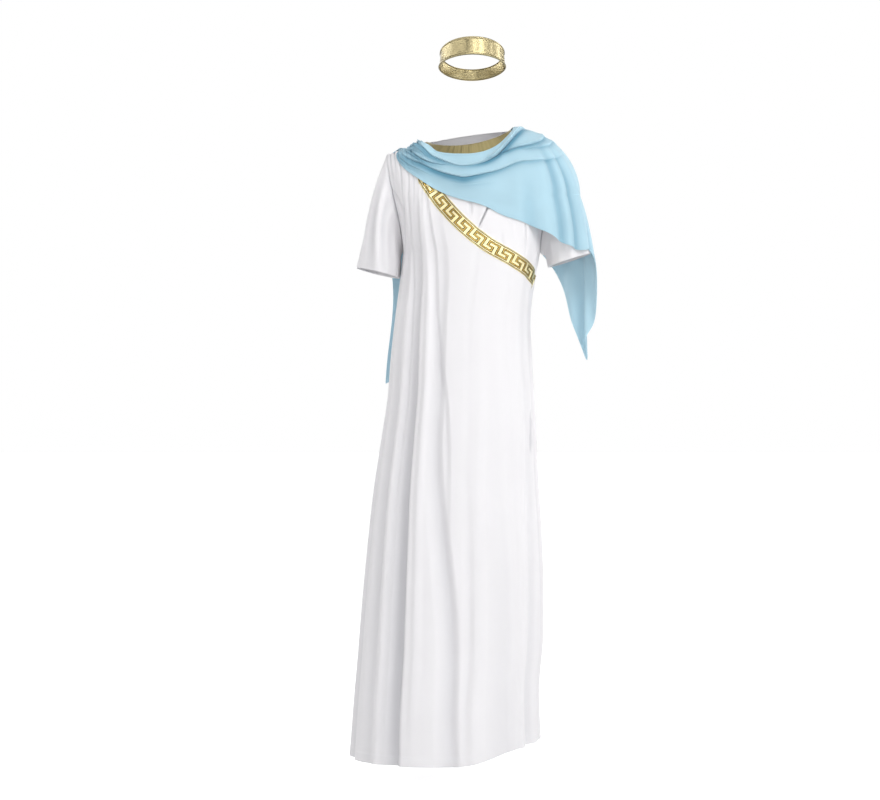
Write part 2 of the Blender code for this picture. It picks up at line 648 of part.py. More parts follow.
def drape_plan(shares, rows):
    """The directions and ways down of the drape's points."""
    table = {name: column(DRAPE, DRAPE_COLUMNS, name) for name in DRAPE_COLUMNS}
    hem_at = [way_down_to(t, z) for t, z in zip(table["hem_turn"], table["hem_z"])]
    neck_turn = smooth(shares, table["share"], table["neck_turn"])
    neck_at = smooth(shares, table["share"], table["neck_at"])
    hem_turn = smooth(shares, table["share"], table["hem_turn"])
    low = smooth(shares, table["share"], hem_at)
    v = rows[:, None]
    return hem_turn + (neck_turn - hem_turn) * (1 - v) ** DRAPE_SWING, neck_at + (low - neck_at) * v


def drape_creases(shares, rows):
    """Depth of the creases and hanging folds of the drape at each point."""
    v = rows[:, None]
    depth = np.zeros((len(rows), len(shares)))
    for creases, along in ((FRONT_CREASES, shares), (BACK_CREASES, 1 - shares)):
        for row in creases:
            crease = dict(zip(CREASE_COLUMNS, row))
            line = smooth(along, CREASE_PLACES, row[:5])
            start = ease((along - crease["start"]) / CREASE_START)
            end = ease((crease["end"] - along) / CREASE_END)
            depth += crease["depth"] * start * end * bump((v - line) / (crease["width"] * CREASE_TAIL))
    for row in HANGING_FOLDS:
        fold = dict(zip(HANGING_COLUMNS, row))
        down = ease((v - fold["from_row"]) / (1 - fold["from_row"]))
        depth += fold["depth"] * down * bump((shares[None, :] - fold["share"]) / (fold["width"] * HANGING_TAIL))
    return depth


def drape(tree):
    """Outer and inner points of the drape, clear of what it lies on."""
    shares = np.linspace(0, 1, DRAPE_STEPS + 1)
    rows = np.linspace(0, 1, DRAPE_ROWS + 1)
    turn, at = drape_plan(shares, rows)
    base = form(turn, at)
    normal = normals_of(base, base - np.array(FORM_INSIDE))
    depth = drape_creases(shares, rows)
    under = np.zeros(depth.shape)
    reach = DRAPE_SEARCH
    for index in np.ndindex(depth.shape):
        origin = Vector(base[index] + normal[index] * reach)
        place, _, _, distance = tree.ray_cast(origin, Vector(-normal[index]), 2 * reach)
        under[index] = reach - distance if place is not None else -1.0
    sewn = bump(shares / SEWN_SHARE)[None, :]
    under = greatest_near(under) * (1 - sewn) + under * sewn
    lift = (DRAPE_LOFT - depth) * (1 - sewn)
    least = under + DRAPE_GAP + (SEWN_GAP - DRAPE_GAP) * sewn + CLOTH
    height = np.maximum(lift, least + DRAPE_RISE * lift.clip(0))
    for _ in range(DRAPE_SOFTENINGS):
        height = np.maximum(softened(height), least)
    outer = base + normal * height[:, :, None]
    face = normals_of(outer, normal)
    return outer, outer - face * CLOTH


def greatest_near(values):
    """A grid of values, each the greatest of itself and its neighbours."""
    padded = np.pad(values, 1, mode="edge")
    rows, columns = values.shape
    return np.max([padded[r:r + rows, c:c + columns] for r in range(3) for c in range(3)], axis=0)


def softened(values):
    """A grid of values averaged with their neighbours."""
    padded = np.pad(values, 1, mode="edge")
    total = padded[1:-1, 1:-1] * 4 + padded[:-2, 1:-1] + padded[2:, 1:-1] + padded[1:-1, :-2] + padded[1:-1, 2:]
    return total / 8


def headband():
    """The gold headband, taller in front and tipped up there."""
    turn = np.linspace(0, 2 * math.pi, BAND_STEPS, endpoint=False)
    ahead = -np.sin(turn)
    height = BAND_HEIGHT_BACK + (BAND_HEIGHT_FRONT - BAND_HEIGHT_BACK) * ease((ahead + 1) / 2)
    x0, y0, z0 = BAND_MIDDLE
    grid = []
    for s in np.linspace(0.5, -0.5, BAND_ROWS + 1):
        shrink = BAND_TAPER * (s + 0.5)
        grid.append(np.stack([
            x0 + (BAND_HALF[0] - shrink) * np.cos(turn),
            y0 + (BAND_HALF[1] - shrink) * np.sin(turn),
            z0 + ahead * BAND_HALF[1] * BAND_TIP + height * s,
        ], axis=1))
    return np.array(grid)


def build():
    for old in list(bpy.data.objects):
        bpy.data.objects.remove(old, do_unlink=True)
    white = material("white_cloth", (0.86, 0.86, 0.87), 0.75)
    blue = material("blue_cloth", (0.40, 0.70, 0.86), 0.7)
    gold_cloth = material("gold_cloth", (0.50, 0.42, 0.20), 0.4, 0.6)
    gold_trim = material("gold_trim", (0.80, 0.60, 0.18), 0.3, 0.8)
    gold_foil = material("gold_foil", (0.78, 0.68, 0.38), 0.25, 0.9)

    front, front_normal = panel(-1, FRONT_ROWS, FRONT_FOLDS)
    back, back_normal = panel(1, BACK_ROWS, BACK_FOLDS)
    wall("tunic_front", front, front - front_normal * CLOTH, white)
    wall("tunic_back", back, back - back_normal * CLOTH, white)

    under = [front, back]
    for name, facts in SLEEVES.items():
        outer = sleeve(front, back, facts)
        normal = ring_normals(outer)
        normal[0] = kept_in_plane(normal[0], 0)
        wall(name, outer, outer - normal * CLOTH, white, closed=True)
        under.append(np.concatenate([outer, outer[:, :1]], axis=1))

    panels = tree_of(front, back)
    inner, normal = neck_band(panels)
    band = inner + normal * TRIM_CLOTH
    wall("neck_band", band, inner, gold_cloth, closed=True)
    under.append(np.concatenate([band, band[:, :1]], axis=1))

    inner, normal = trim(tree_of(front))
    strip = inner + normal * TRIM_CLOTH
    wall("key_trim", strip, inner, gold_trim)
    under.append(strip)

    outer, inner = drape(tree_of(*under))
    wall("drape", outer, inner, blue)

    outer = headband()
    wall("headband", outer, outer - ring_normals(outer) * TRIM_CLOTH, gold_foil, closed=True)


build()
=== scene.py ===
"""Looks of a Greek priest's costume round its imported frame, piece by piece as it is sewn together:
white tunic front and back, sleeves, gold neck band, gold key trim, blue drape and gold headband,
each with its stitches. Metres, +Z up, the front faces -Y, and +X is the garment's left."""
import math

import bpy
import numpy as np
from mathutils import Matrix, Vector
from mathutils.bvhtree import BVHTree


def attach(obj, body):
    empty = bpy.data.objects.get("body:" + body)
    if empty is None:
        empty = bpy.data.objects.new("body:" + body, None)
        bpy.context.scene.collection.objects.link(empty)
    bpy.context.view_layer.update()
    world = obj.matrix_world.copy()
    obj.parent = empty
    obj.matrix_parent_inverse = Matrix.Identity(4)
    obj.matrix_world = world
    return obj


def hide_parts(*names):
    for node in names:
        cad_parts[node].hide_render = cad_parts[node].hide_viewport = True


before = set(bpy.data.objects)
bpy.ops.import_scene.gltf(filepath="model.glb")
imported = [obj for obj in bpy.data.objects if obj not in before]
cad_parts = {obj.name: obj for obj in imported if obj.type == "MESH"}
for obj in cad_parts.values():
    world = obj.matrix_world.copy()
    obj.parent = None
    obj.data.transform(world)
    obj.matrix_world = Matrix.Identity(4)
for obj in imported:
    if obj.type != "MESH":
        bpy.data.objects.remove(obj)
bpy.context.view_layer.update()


# The studio: a white floor, soft boxes in front, overhead, at the left and behind each shoulder, a pale
# room that shines in metal as upright bands, and a camera at hip height in front with a long lens.
EYE = (-0.0752, -4.88, -0.607)
LENS = 85
FILM = 36
MIDDLE = (-0.06, 0.0, -0.70)
FLOOR_Z = -1.5
FLOOR_SIZE = 60
FLOOR_WHITE = (0.92, 0.92, 0.92, 1)
FLOOR_ROUGHNESS = 0.9
FLOOR_GLOW = 0.8          # so much light of its own has the floor where it is seen directly
WHITE_LIGHT = (1, 1, 1, 1)
ROOM_TINT = (0.99, 0.985, 1.0, 1)
ROOM_LIGHT = 0.40
FAR_WALL_LIGHT = 1.0
BANDS = 4                 # upright bands of light round the room
BAND_TURN = 2.05          # their turn, in radians of one band's wave
BAND_EDGE = (-0.5, 0.8)   # heights of that wave between which a band goes from dark to bright
BAND_LIGHT = (0.02, 1.25)
SOFT_BOXES = {
    "box_right": {"at": (1.65, -2.45, 1.30), "size": (1.0, 1.3), "watts": 38},
    "box_front": {"at": (0.2, -3.5, -0.20), "size": (1.4, 1.0), "watts": 12},
    "box_left": {"at": (-2.8, -2.4, 0.55), "size": (1.4, 2.2), "watts": 24},
    "box_above": {"at": (0.2, -0.9, 2.2), "size": (1.8, 1.4), "watts": 14},
    "box_side_right": {"at": (2.8, -1.5, -0.3), "size": (0.8, 1.6), "watts": 17},
    "box_behind_right": {"at": (2.2, 1.5, 0.5), "size": (0.9, 1.6), "watts": 22},
    "box_behind_left": {"at": (-2.3, 1.5, 0.5), "size": (0.9, 1.6), "watts": 20},
}

camera_data = bpy.data.cameras.new("camera")
camera_data.lens = LENS
camera_data.sensor_width = FILM
camera = bpy.data.objects.new("camera", camera_data)
camera.location = EYE
camera.rotation_euler = (math.pi / 2, 0, 0)
bpy.context.scene.collection.objects.link(camera)
bpy.context.scene.camera = camera
bpy.context.scene.view_settings.view_transform = "Standard"

for name, facts in SOFT_BOXES.items():
    light = bpy.data.lights.new(name, "AREA")
    light.shape = "RECTANGLE"
    light.size, light.size_y = facts["size"]
    light.energy = facts["watts"]
    lamp = bpy.data.objects.new(name, light)
    lamp.location = facts["at"]
    lamp.rotation_euler = (Vector(MIDDLE) - Vector(facts["at"])).to_track_quat("-Z", "Y").to_euler()
    bpy.context.scene.collection.objects.link(lamp)


def maths(tree, operation, *values):
    """A sum or other step of arithmetic on sockets or numbers, in a tree of shader nodes."""
    node = tree.nodes.new("ShaderNodeMath")
    node.operation = operation
    for socket, value in zip(node.inputs, values):
        if isinstance(value, (int, float)):
            socket.default_value = value
        else:
            tree.links.new(value, socket)
    return node.outputs[0]


def room():
    """A pale room whose far wall is seen as plain white, and which shines in metal as upright bands."""
    world = bpy.data.worlds.new("room")
    bpy.context.scene.world = world
    world.use_nodes = True
    tree = world.node_tree
    nodes, links = tree.nodes, tree.links
    dim = nodes["Background"]
    dim.inputs["Color"].default_value = ROOM_TINT
    dim.inputs["Strength"].default_value = ROOM_LIGHT
    white, banded = nodes.new("ShaderNodeBackground"), nodes.new("ShaderNodeBackground")
    white.inputs["Strength"].default_value = FAR_WALL_LIGHT
    white.inputs["Color"].default_value = banded.inputs["Color"].default_value = WHITE_LIGHT
    place, split = nodes.new("ShaderNodeTexCoord"), nodes.new("ShaderNodeSeparateXYZ")
    links.new(place.outputs["Generated"], split.inputs[0])
    around = maths(tree, "ARCTAN2", split.outputs["X"], split.outputs["Y"])
    wave = maths(tree, "SINE", maths(tree, "ADD", maths(tree, "MULTIPLY", around, BANDS), BAND_TURN))
    spread = nodes.new("ShaderNodeMapRange")
    spread.interpolation_type = "SMOOTHSTEP"
    spread.inputs["From Min"].default_value, spread.inputs["From Max"].default_value = BAND_EDGE
    spread.inputs["To Min"].default_value, spread.inputs["To Max"].default_value = BAND_LIGHT
    links.new(wave, spread.inputs["Value"])
    links.new(spread.outputs["Result"], banded.inputs["Strength"])
    path = nodes.new("ShaderNodeLightPath")
    shiny, seen = nodes.new("ShaderNodeMixShader"), nodes.new("ShaderNodeMixShader")
    links.new(path.outputs["Is Glossy Ray"], shiny.inputs["Fac"])
    links.new(dim.outputs[0], shiny.inputs[1])
    links.new(banded.outputs[0], shiny.inputs[2])
    links.new(path.outputs["Is Camera Ray"], seen.inputs["Fac"])
    links.new(shiny.outputs[0], seen.inputs[1])
    links.new(white.outputs[0], seen.inputs[2])
    links.new(seen.outputs[0], nodes["World Output"].inputs["Surface"])


def floor():
    """A large white floor that falls into soft shade only near the hem."""
    half = FLOOR_SIZE / 2
    mesh = bpy.data.meshes.new("floor")
    corners = [(x, y, FLOOR_Z) for x, y in ((-half, -half), (half, -half), (half, half), (-half, half))]
    mesh.from_pydata(corners, [], [(0, 1, 2, 3)])
    finish = bpy.data.materials.new("white_floor")
    finish.use_nodes = True
    surface = finish.node_tree.nodes["Principled BSDF"]
    surface.inputs["Base Color"].default_value = FLOOR_WHITE
    surface.inputs["Roughness"].default_value = FLOOR_ROUGHNESS
    surface.inputs["Emission Color"].default_value = WHITE_LIGHT
    path = finish.node_tree.nodes.new("ShaderNodeLightPath")
    glow = maths(finish.node_tree, "MULTIPLY", path.outputs["Is Camera Ray"], FLOOR_GLOW)
    finish.node_tree.links.new(glow, surface.inputs["Emission Strength"])
    mesh.materials.append(finish)
    made = bpy.data.objects.new("floor", mesh)
    bpy.context.scene.collection.objects.link(made)


room()
floor()


# The tunic's front and back: two long panels of thin white polyester, seamed at the shoulders and the
# sides and hemmed at the bottom. The right shoulder is drawn up into small gathers, and the cloth falls
# from there in soft folds that open towards the hem.
THIN = 0.0007             # thickness of the white cloth
EDGE_ROUND = 0.0012       # a folded edge is rounded over this distance
SEAM_GAP = 0.0002
SEAM_DIP = 0.0007         # the cloth turns in at a seam
SEAM_TURN = 0.0035
HEM_TURN = 0.022          # depth of the tunic's hem
HEM_STEP = 0.0012         # over which the hem's upper edge shows
HEM_RAISE = 0.0004
HEM_STITCH = 0.0016       # the stitches keep this far below the hem's upper edge
WEAVE_RAISE = 0.00012     # how far the threads stand up
SHEEN_ROUGHNESS = 0.45
THREAD_ROUGHNESS = 0.55
SHARP_FROM = 65           # degrees between faces from which an edge is drawn sharp
STITCH_PITCH = 0.0032
STITCH_LENGTH = 0.0024
STITCH_RADIUS = 0.00024
STITCH_LIFT = 0.0004      # the thread's middle lies this far above the cloth
STITCH_SIDES = (6, 4)
FOLD_DEEP = 0.031         # a fold, crease or gather of this depth has the cloth's full painted shade
CREASE_DEEP = 0.0080
GATHER_DEEP = 0.0028
SEAM_DARK = 0.45          # and so has a seam, as painted shade, by this much, over this distance
SEAM_SHADE = 0.004

ARMPIT_Z = -0.262
HEM_Z_RIGHT = -1.4385
HEM_Z_LEFT = -1.398
HEM_RISE_FROM_X = -0.05
HEM_RISE_WIDTH = 0.21
NECK_RIGHT = (-0.106, 0.0, -0.002)
NECK_LEFT = (0.088, 0.0, 0.026)
NECK_FRONT_Y = -0.086
NECK_FRONT_DROP = 0.028
NECK_BACK_Y = 0.066
NECK_BACK_DROP = -0.010
SHOULDER_RIGHT = (-0.199, 0.0, -0.030)
SHOULDER_LEFT = (0.190, 0.0, -0.022)
NECK_CURVE = 1.25
NECK_SCOOP = 1.5
SLOPE_AT_NECK = math.radians(32)
SLOPE_SPREAD = 1.7
ARMHOLE_BOW = {-1: 0.066, 1: 0.072}
ARMHOLE_HOLD = 2.2
ARMHOLE_REACH = 0.38

SECTION_COLUMNS = ("z", "right", "left", "front", "back", "square")
SECTIONS = (
    (-0.262, -0.162, 0.159, -0.132, 0.118, 2.5),
    (-0.320, -0.168, 0.149, -0.133, 0.113, 2.4),
    (-0.420, -0.181, 0.137, -0.134, 0.112, 2.4),
    (-0.510, -0.191, 0.140, -0.137, 0.118, 2.3),
    (-0.600, -0.198, 0.145, -0.141, 0.128, 2.3),
    (-0.700, -0.213, 0.151, -0.146, 0.138, 2.3),
    (-0.800, -0.229, 0.155, -0.150, 0.146, 2.3),
    (-0.950, -0.246, 0.164, -0.158, 0.158, 2.3),
    (-1.100, -0.260, 0.168, -0.167, 0.170, 2.3),
    (-1.200, -0.268, 0.167, -0.173, 0.178, 2.3),
    (-1.300, -0.277, 0.159, -0.179, 0.186, 2.3),
    (-1.460, -0.289, 0.162, -0.188, 0.198, 2.3),
)

# Folds and creases that hang down a panel: place across it at five heights, depth at the same heights (a
# minus depth is a ridge), and half widths on the right and on the left of the fold, in shares of the cloth
FOLD_HEIGHTS = (-0.14, -0.34, -0.70, -1.10, -1.42)
FRONT_FOLDS = (
    ((0.185, 0.245, 0.274, 0.299, 0.320), (0.003, 0.009, 0.019, 0.025, 0.022), (0.050, 0.016)),
    ((0.310, 0.378, 0.400, 0.490, 0.521), (0.001, 0.005, 0.011, 0.013, 0.012), (0.040, 0.020)),
    ((0.260, 0.335, 0.445, 0.470, 0.500), (0.004, 0.006, 0.005, 0.000, 0.000), (0.024, 0.012)),
    ((0.130, 0.150, 0.165, 0.185, 0.210), (0.001, 0.004, 0.009, 0.009, 0.006), (0.030, 0.020)),
    ((0.055, 0.060, 0.072, 0.070, 0.085), (0.000, 0.002, 0.005, 0.009, 0.011), (0.030, 0.028)),
    ((0.620, 0.640, 0.660, 0.700, 0.720), (0.000, 0.000, 0.002, 0.006, 0.008), (0.060, 0.030)),
    ((0.780, 0.790, 0.800, 0.786, 0.790), (0.000, 0.000, -0.002, -0.004, -0.004), (0.010, 0.012)),
    ((0.830, 0.840, 0.845, 0.832, 0.830), (0.000, 0.002, 0.006, 0.009, 0.011), (0.028, 0.022)),
    ((0.925, 0.925, 0.922, 0.925, 0.925), (0.001, 0.003, 0.009, 0.006, 0.004), (0.026, 0.024)),
    ((0.580, 0.585, 0.590, 0.596, 0.600), (0.000, 0.000, -0.002, -0.004, -0.004), (0.024, 0.026)),
    ((0.215, 0.300, 0.330, 0.360, 0.385), (0.002, -0.002, -0.004, -0.003, -0.001), (0.012, 0.020)),
    ((0.520, 0.530, 0.535, 0.560, 0.570), (0.001, 0.001, 0.001, 0.003, 0.002), (0.020, 0.014)),
    ((0.700, 0.715, 0.740, 0.755, 0.765), (0.001, 0.001, 0.001, 0.002, 0.004), (0.018, 0.014)),
    ((0.120, 0.200, 0.222, 0.240, 0.262), (0.002, 0.003, 0.004, 0.003, 0.002), (0.012, 0.008)),
)
BACK_FOLDS = (
    ((0.110, 0.110, 0.112, 0.110, 0.110), (0.001, 0.003, 0.008, 0.012, 0.018), (0.040, 0.030)),
    ((0.200, 0.215, 0.220, 0.222, 0.215), (0.001, -0.002, -0.004, -0.008, -0.010), (0.040, 0.040)),
    ((0.330, 0.340, 0.335, 0.330, 0.330), (0.003, 0.005, 0.012, 0.020, 0.026), (0.050, 0.024)),
    ((0.460, 0.458, 0.455, 0.452, 0.450), (0.000, -0.002, -0.006, -0.008, -0.010), (0.040, 0.040)),
    ((0.545, 0.555, 0.562, 0.568, 0.570), (0.002, 0.004, 0.010, 0.016, 0.022), (0.026, 0.050)),
    ((0.660, 0.675, 0.685, 0.695, 0.700), (0.000, -0.001, -0.004, -0.007, -0.010), (0.045, 0.045)),
    ((0.790, 0.800, 0.808, 0.815, 0.820), (0.002, 0.003, 0.008, 0.014, 0.020), (0.040, 0.026)),
    ((0.910, 0.910, 0.912, 0.914, 0.915), (0.000, 0.001, 0.003, 0.005, 0.006), (0.030, 0.024)),
    ((0.400, 0.400, 0.396, 0.390, 0.385), (0.001, 0.002, 0.003, 0.002, 0.002), (0.016, 0.012)),
    ((0.500, 0.505, 0.508, 0.512, 0.515), (0.002, 0.003, 0.003, 0.003, 0.003), (0.012, 0.016)),
    ((0.620, 0.625, 0.632, 0.638, 0.640), (0.001, 0.002, 0.003, 0.003, 0.003), (0.016, 0.012)),
    ((0.270, 0.280, 0.282, 0.276, 0.270), (0.001, 0.002, 0.003, 0.003, 0.003), (0.014, 0.012)),
    ((0.735, 0.742, 0.750, 0.760, 0.765), (0.001, 0.002, 0.002, 0.003, 0.003), (0.014, 0.016)),
)
FOLD_START = (-0.05, 0.09)   # where the folds start, and over how far
# Short creases of the front: place across and height of the upper and lower end, half width, depth
CREASE_COLUMNS = ("upper_share", "upper_z", "lower_share", "lower_z", "width", "depth")
SHORT_CREASES = (
    (0.590, -0.146, 0.522, -0.220, 0.0065, 0.0085),
    (0.490, -0.140, 0.493, -0.190, 0.0130, 0.0030),
    (0.788, -0.185, 0.780, -0.270, 0.0110, 0.0032),
    (0.880, -0.622, 0.868, -0.738, 0.0105, 0.0100),
    (0.640, -0.215, 0.665, -0.290, 0.0150, 0.0016),
    (0.040, -0.250, 0.075, -0.360, 0.0120, 0.0024),
    (0.960, -0.270, 0.905, -0.380, 0.0130, 0.0030),
    (-0.010, -0.112, 0.088, -0.178, 0.0120, 0.0038),
    (0.082, -0.140, 0.106, -0.270, 0.0110, 0.0052),
)
CREASE_ENDS = 0.3         # share of a short crease over which each end fades

# Gathers of the right shoulder, each the narrow valley beside a small pleat: place at the seam and lower
# down, half width, depth, and how far down the upper part it reaches
GATHER_COLUMNS = ("seam_share", "low_share", "width", "depth", "reach")
SHOULDER_GATHERS = (
    (0.016, 0.022, 0.0055, 0.0034, 0.80),
    (0.036, 0.048, 0.0060, 0.0042, 0.62),
    (0.060, 0.086, 0.0055, 0.0036, 0.95),
    (0.081, 0.110, 0.0050, 0.0030, 0.55),
    (0.103, 0.140, 0.0060, 0.0044, 0.74),
    (0.128, 0.180, 0.0060, 0.0036, 0.98),
    (0.152, 0.216, 0.0055, 0.0036, 0.66),
    (0.176, 0.252, 0.0055, 0.0032, 0.82),
    (0.200, 0.288, 0.0060, 0.0026, 0.90),
    (0.226, 0.330, 0.0065, 0.0018, 0.64),
)

PANEL_COLUMNS = {-1: 224, 1: 180}
PANEL_COLUMNS_FROM = 0.024
SEAM_COLUMNS = (0.0, 0.0025, 0.006, 0.011, 0.017)
FOLD_TAIL = 1.6           # folds fade over this many of their half widths
SECTION_STEPS = 481       # points that draw a section, a neck opening and a shoulder seam
NECK_STEPS = 121
SHOULDER_STEPS = 13
UPPER_ROWS = 84
LOWER_ROWS = 116
ROWS_ABOVE_HEM = 1.2      # the even rows end at this many times the first close row's height
HEM_ROWS = (0.030, 0.0255, 0.0232, 0.0220, 0.0208, 0.0185, 0.015, 0.011, 0.007, 0.0035, 0.0014, 0.0004)


def column(rows, names, name):
    """One named column of a table."""
    return np.array([row[names.index(name)] for row in rows], float)


def smooth(at, knots, values):
    """A smooth curve through the values at the knots, read at other places."""
    knots = np.asarray(knots, float)
    values = np.asarray(values, float)
    slopes = np.gradient(values, knots)
    at = np.clip(at, knots[0], knots[-1])
    i = np.clip(np.searchsorted(knots, at) - 1, 0, len(knots) - 2)
    span = knots[i + 1] - knots[i]
    s = (at - knots[i]) / span
    start = (1 + 2 * s) * (1 - s) ** 2 * values[i] + s * (1 - s) ** 2 * span * slopes[i]
    end = s * s * (3 - 2 * s) * values[i + 1] + s * s * (s - 1) * span * slopes[i + 1]
    return start + end


def ease(x):
    """0 below 0, 1 above 1, and smooth between."""
    x = np.clip(x, 0, 1)
    return x * x * (3 - 2 * x)


def bump(x):
    """A soft hump, 1 in its middle and 0 from 1 outwards."""
    x = np.clip(np.abs(x), 0, 1)
    return (1 - x * x) ** 2


def normals_of(grid, outward):
    """Unit normals of a grid of points, turned as a whole to the side that outward says."""
    normal = np.cross(np.gradient(grid, axis=1), np.gradient(grid, axis=0))
    normal /= np.linalg.norm(normal, axis=2, keepdims=True)
    return normal * (1 if (normal * outward).sum() > 0 else -1)


def kept_in_plane(normal, axis):
    """Normals with no part along an axis, so that a cloth's edge ends square at its seam."""
    flat = normal.copy()
    flat[..., axis] = 0
    return flat / np.linalg.norm(flat, axis=-1, keepdims=True)


def lengths(grid):
    """Metres along the middle row and down the middle column of a grid, for its flat map."""
    middle_row = grid[grid.shape[0] // 2]
    middle_column = grid[:, grid.shape[1] // 2]
    return [
        np.concatenate([[0], np.cumsum(np.linalg.norm(np.diff(line, axis=0), axis=1))])
        for line in (middle_row, middle_column)
    ]


def shell(name, outer, inner, finishes, closed=False, spots=None, dark=None, wrong_side=0):
    """A thin closed shell of cloth between two grids of points, with a flat map in metres.
    A closed one joins its last column to its first. spots gives the outer faces' finish numbers,
    wrong_side the inner faces' one, and dark how much painted shade each point has, from 0 to 1."""
    rows, columns = outer.shape[:2]
    last = columns if closed else columns - 1
    r, c = (x.ravel() for x in np.meshgrid(np.arange(rows - 1), np.arange(last), indexing="ij"))
    across, down = np.arange(last), np.arange(rows - 1)
    zero, bottom, end = np.zeros_like(across), np.full_like(across, rows - 1), np.full_like(down, columns - 1)
    parts = [
        (r, c, ((0, 0, 0), (0, 1, 0), (1, 1, 0), (1, 0, 0))),
        (r, c, ((0, 0, 1), (1, 0, 1), (1, 1, 1), (0, 1, 1))),
        (zero, across, ((0, 0, 0), (0, 0, 1), (0, 1, 1), (0, 1, 0))),
        (bottom, across, ((0, 0, 0), (0, 1, 0), (0, 1, 1), (0, 0, 1))),
    ]
    if not closed:
        parts.append((down, np.zeros_like(down), ((0, 0, 0), (1, 0, 0), (1, 0, 1), (0, 0, 1))))
        parts.append((down, end, ((0, 0, 0), (0, 0, 1), (1, 0, 1), (1, 0, 0))))
    row, col, layer = (
        np.concatenate([
            np.stack([np.broadcast_to((at_row, at_col, 0)[k] + corner[k], at_row.shape)
                      for corner in corners], 1)
            for at_row, at_col, corners in parts
        ])
        for k in range(3)
    )
    points = np.concatenate([outer.reshape(-1, 3), inner.reshape(-1, 3)])
    faces = layer * rows * columns + row * columns + col % columns
    wrapped = np.concatenate([outer, outer[:, :1]], axis=1) if closed else outer
    along, fall = lengths(wrapped)
    flat = np.stack([along[col], -fall[row]], axis=-1)
    a, b, d, e = (points[faces[:, k]] for k in range(4))
    if np.einsum("ij,ij", a, np.cross(b, d)) + np.einsum("ij,ij", a, np.cross(d, e)) < 0:
        faces, flat = faces[:, ::-1], flat[:, ::-1]
    mesh = bpy.data.meshes.new(name)
    mesh.vertices.add(len(points))
    mesh.vertices.foreach_set("co", points.ravel())
    mesh.loops.add(faces.size)
    mesh.loops.foreach_set("vertex_index", np.ascontiguousarray(faces).ravel())
    mesh.polygons.add(len(faces))
    mesh.polygons.foreach_set("loop_start", np.arange(len(faces)) * 4)
    mesh.update(calc_edges=True)
    for finish in finishes:
        mesh.materials.append(finish)
    chosen = np.zeros(len(faces), int)
    chosen[len(r):2 * len(r)] = wrong_side
    if spots is not None:
        chosen[:len(r)] = spots.ravel()
    mesh.polygons.foreach_set("material_index", chosen)
    mesh.uv_layers.new(name="flat").data.foreach_set("uv", np.ascontiguousarray(flat).ravel())
    # painted shade of each point, stored for the cloth's colour; the inner faces get none
    if dark is not None:
        values = np.clip(np.concatenate([dark.ravel(), np.zeros(dark.size)]), 0, 1)
        mesh.attributes.new("painted_fold_shade", "FLOAT", "POINT").data.foreach_set("value", values)
    mesh.validate()
    mesh.shade_smooth()
    mesh.set_sharp_from_angle(angle=math.radians(SHARP_FROM))
    made = bpy.data.objects.new(name, mesh)
    bpy.context.scene.collection.objects.link(made)
    return made


def group(name, inputs, outputs):
    """A shader group with named number or colour inputs, and a way to add and join its nodes."""
    tree = bpy.data.node_groups.new(name, "ShaderNodeTree")
    for label, value in inputs.items():
        kind = "NodeSocketColor" if isinstance(value, tuple) else "NodeSocketFloat"
        tree.interface.new_socket(label, in_out="INPUT", socket_type=kind).default_value = value
    for label, kind in outputs.items():
        tree.interface.new_socket(label, in_out="OUTPUT", socket_type=kind)
    return tree, tree.nodes.new("NodeGroupInput"), tree.nodes.new("NodeGroupOutput")


def woven():
    """Threads that pass over and under each other, from the cloth's flat map."""
    tree, given, out = group("woven", {"Threads": 1500.0}, {"Height": "NodeSocketFloat"})
    place = tree.nodes.new("ShaderNodeTexCoord")
    split = tree.nodes.new("ShaderNodeSeparateXYZ")
    tree.links.new(place.outputs["UV"], split.inputs[0])
    waves = []
    for axis in ("X", "Y"):
        count = maths(tree, "MULTIPLY", split.outputs[axis], given.outputs[0])
        waves.append(maths(tree, "SINE", maths(tree, "MULTIPLY", count, math.pi)))
    over = maths(tree, "MULTIPLY", waves[0], waves[1])
    thread = maths(tree, "MAXIMUM", maths(tree, "ABSOLUTE", waves[0]), maths(tree, "ABSOLUTE", waves[1]))
    tree.links.new(maths(tree, "ADD", maths(tree, "MULTIPLY", over, 0.3), thread), out.inputs[0])
    return tree


def clouded_with_painted_shade():
    """A colour darkened by a painted shade in the folds, and drifting a little lighter and darker over the
    cloth.
    """
    inputs = {"Colour": (0.8, 0.8, 0.8, 1), "Deep": (0.5, 0.5, 0.5, 1), "Amount": 0.05, "Scale": 7.0}
    tree, given, out = group("clouded_with_painted_shade", inputs, {"Colour": "NodeSocketColor"})
    place = tree.nodes.new("ShaderNodeTexCoord")
    noise = tree.nodes.new("ShaderNodeTexNoise")
    noise.inputs["Detail"].default_value = 3
    tree.links.new(place.outputs["Object"], noise.inputs["Vector"])
    tree.links.new(given.outputs["Scale"], noise.inputs["Scale"])
    drift = maths(tree, "SUBTRACT", noise.outputs["Fac"], 0.5)
    value = maths(tree, "ADD", maths(tree, "MULTIPLY", drift, given.outputs["Amount"]), 1.0)
    # painted shade: the colour is mixed towards the shade colour as far as each point's stored value says
    fold = tree.nodes.new("ShaderNodeAttribute")
    fold.attribute_name = "painted_fold_shade"
    blend = tree.nodes.new("ShaderNodeMix")
    blend.data_type = "RGBA"
    plain, deep = (socket for socket in blend.inputs if socket.type == "RGBA")
    mixed = next(socket for socket in blend.outputs if socket.type == "RGBA")
    tree.links.new(fold.outputs["Fac"], blend.inputs["Factor"])
    tree.links.new(given.outputs["Colour"], plain)
    tree.links.new(given.outputs["Deep"], deep)
    shade = tree.nodes.new("ShaderNodeHueSaturation")
    tree.links.new(value, shade.inputs["Value"])
    tree.links.new(mixed, shade.inputs["Color"])
    tree.links.new(shade.outputs[0], out.inputs[0])
    return tree


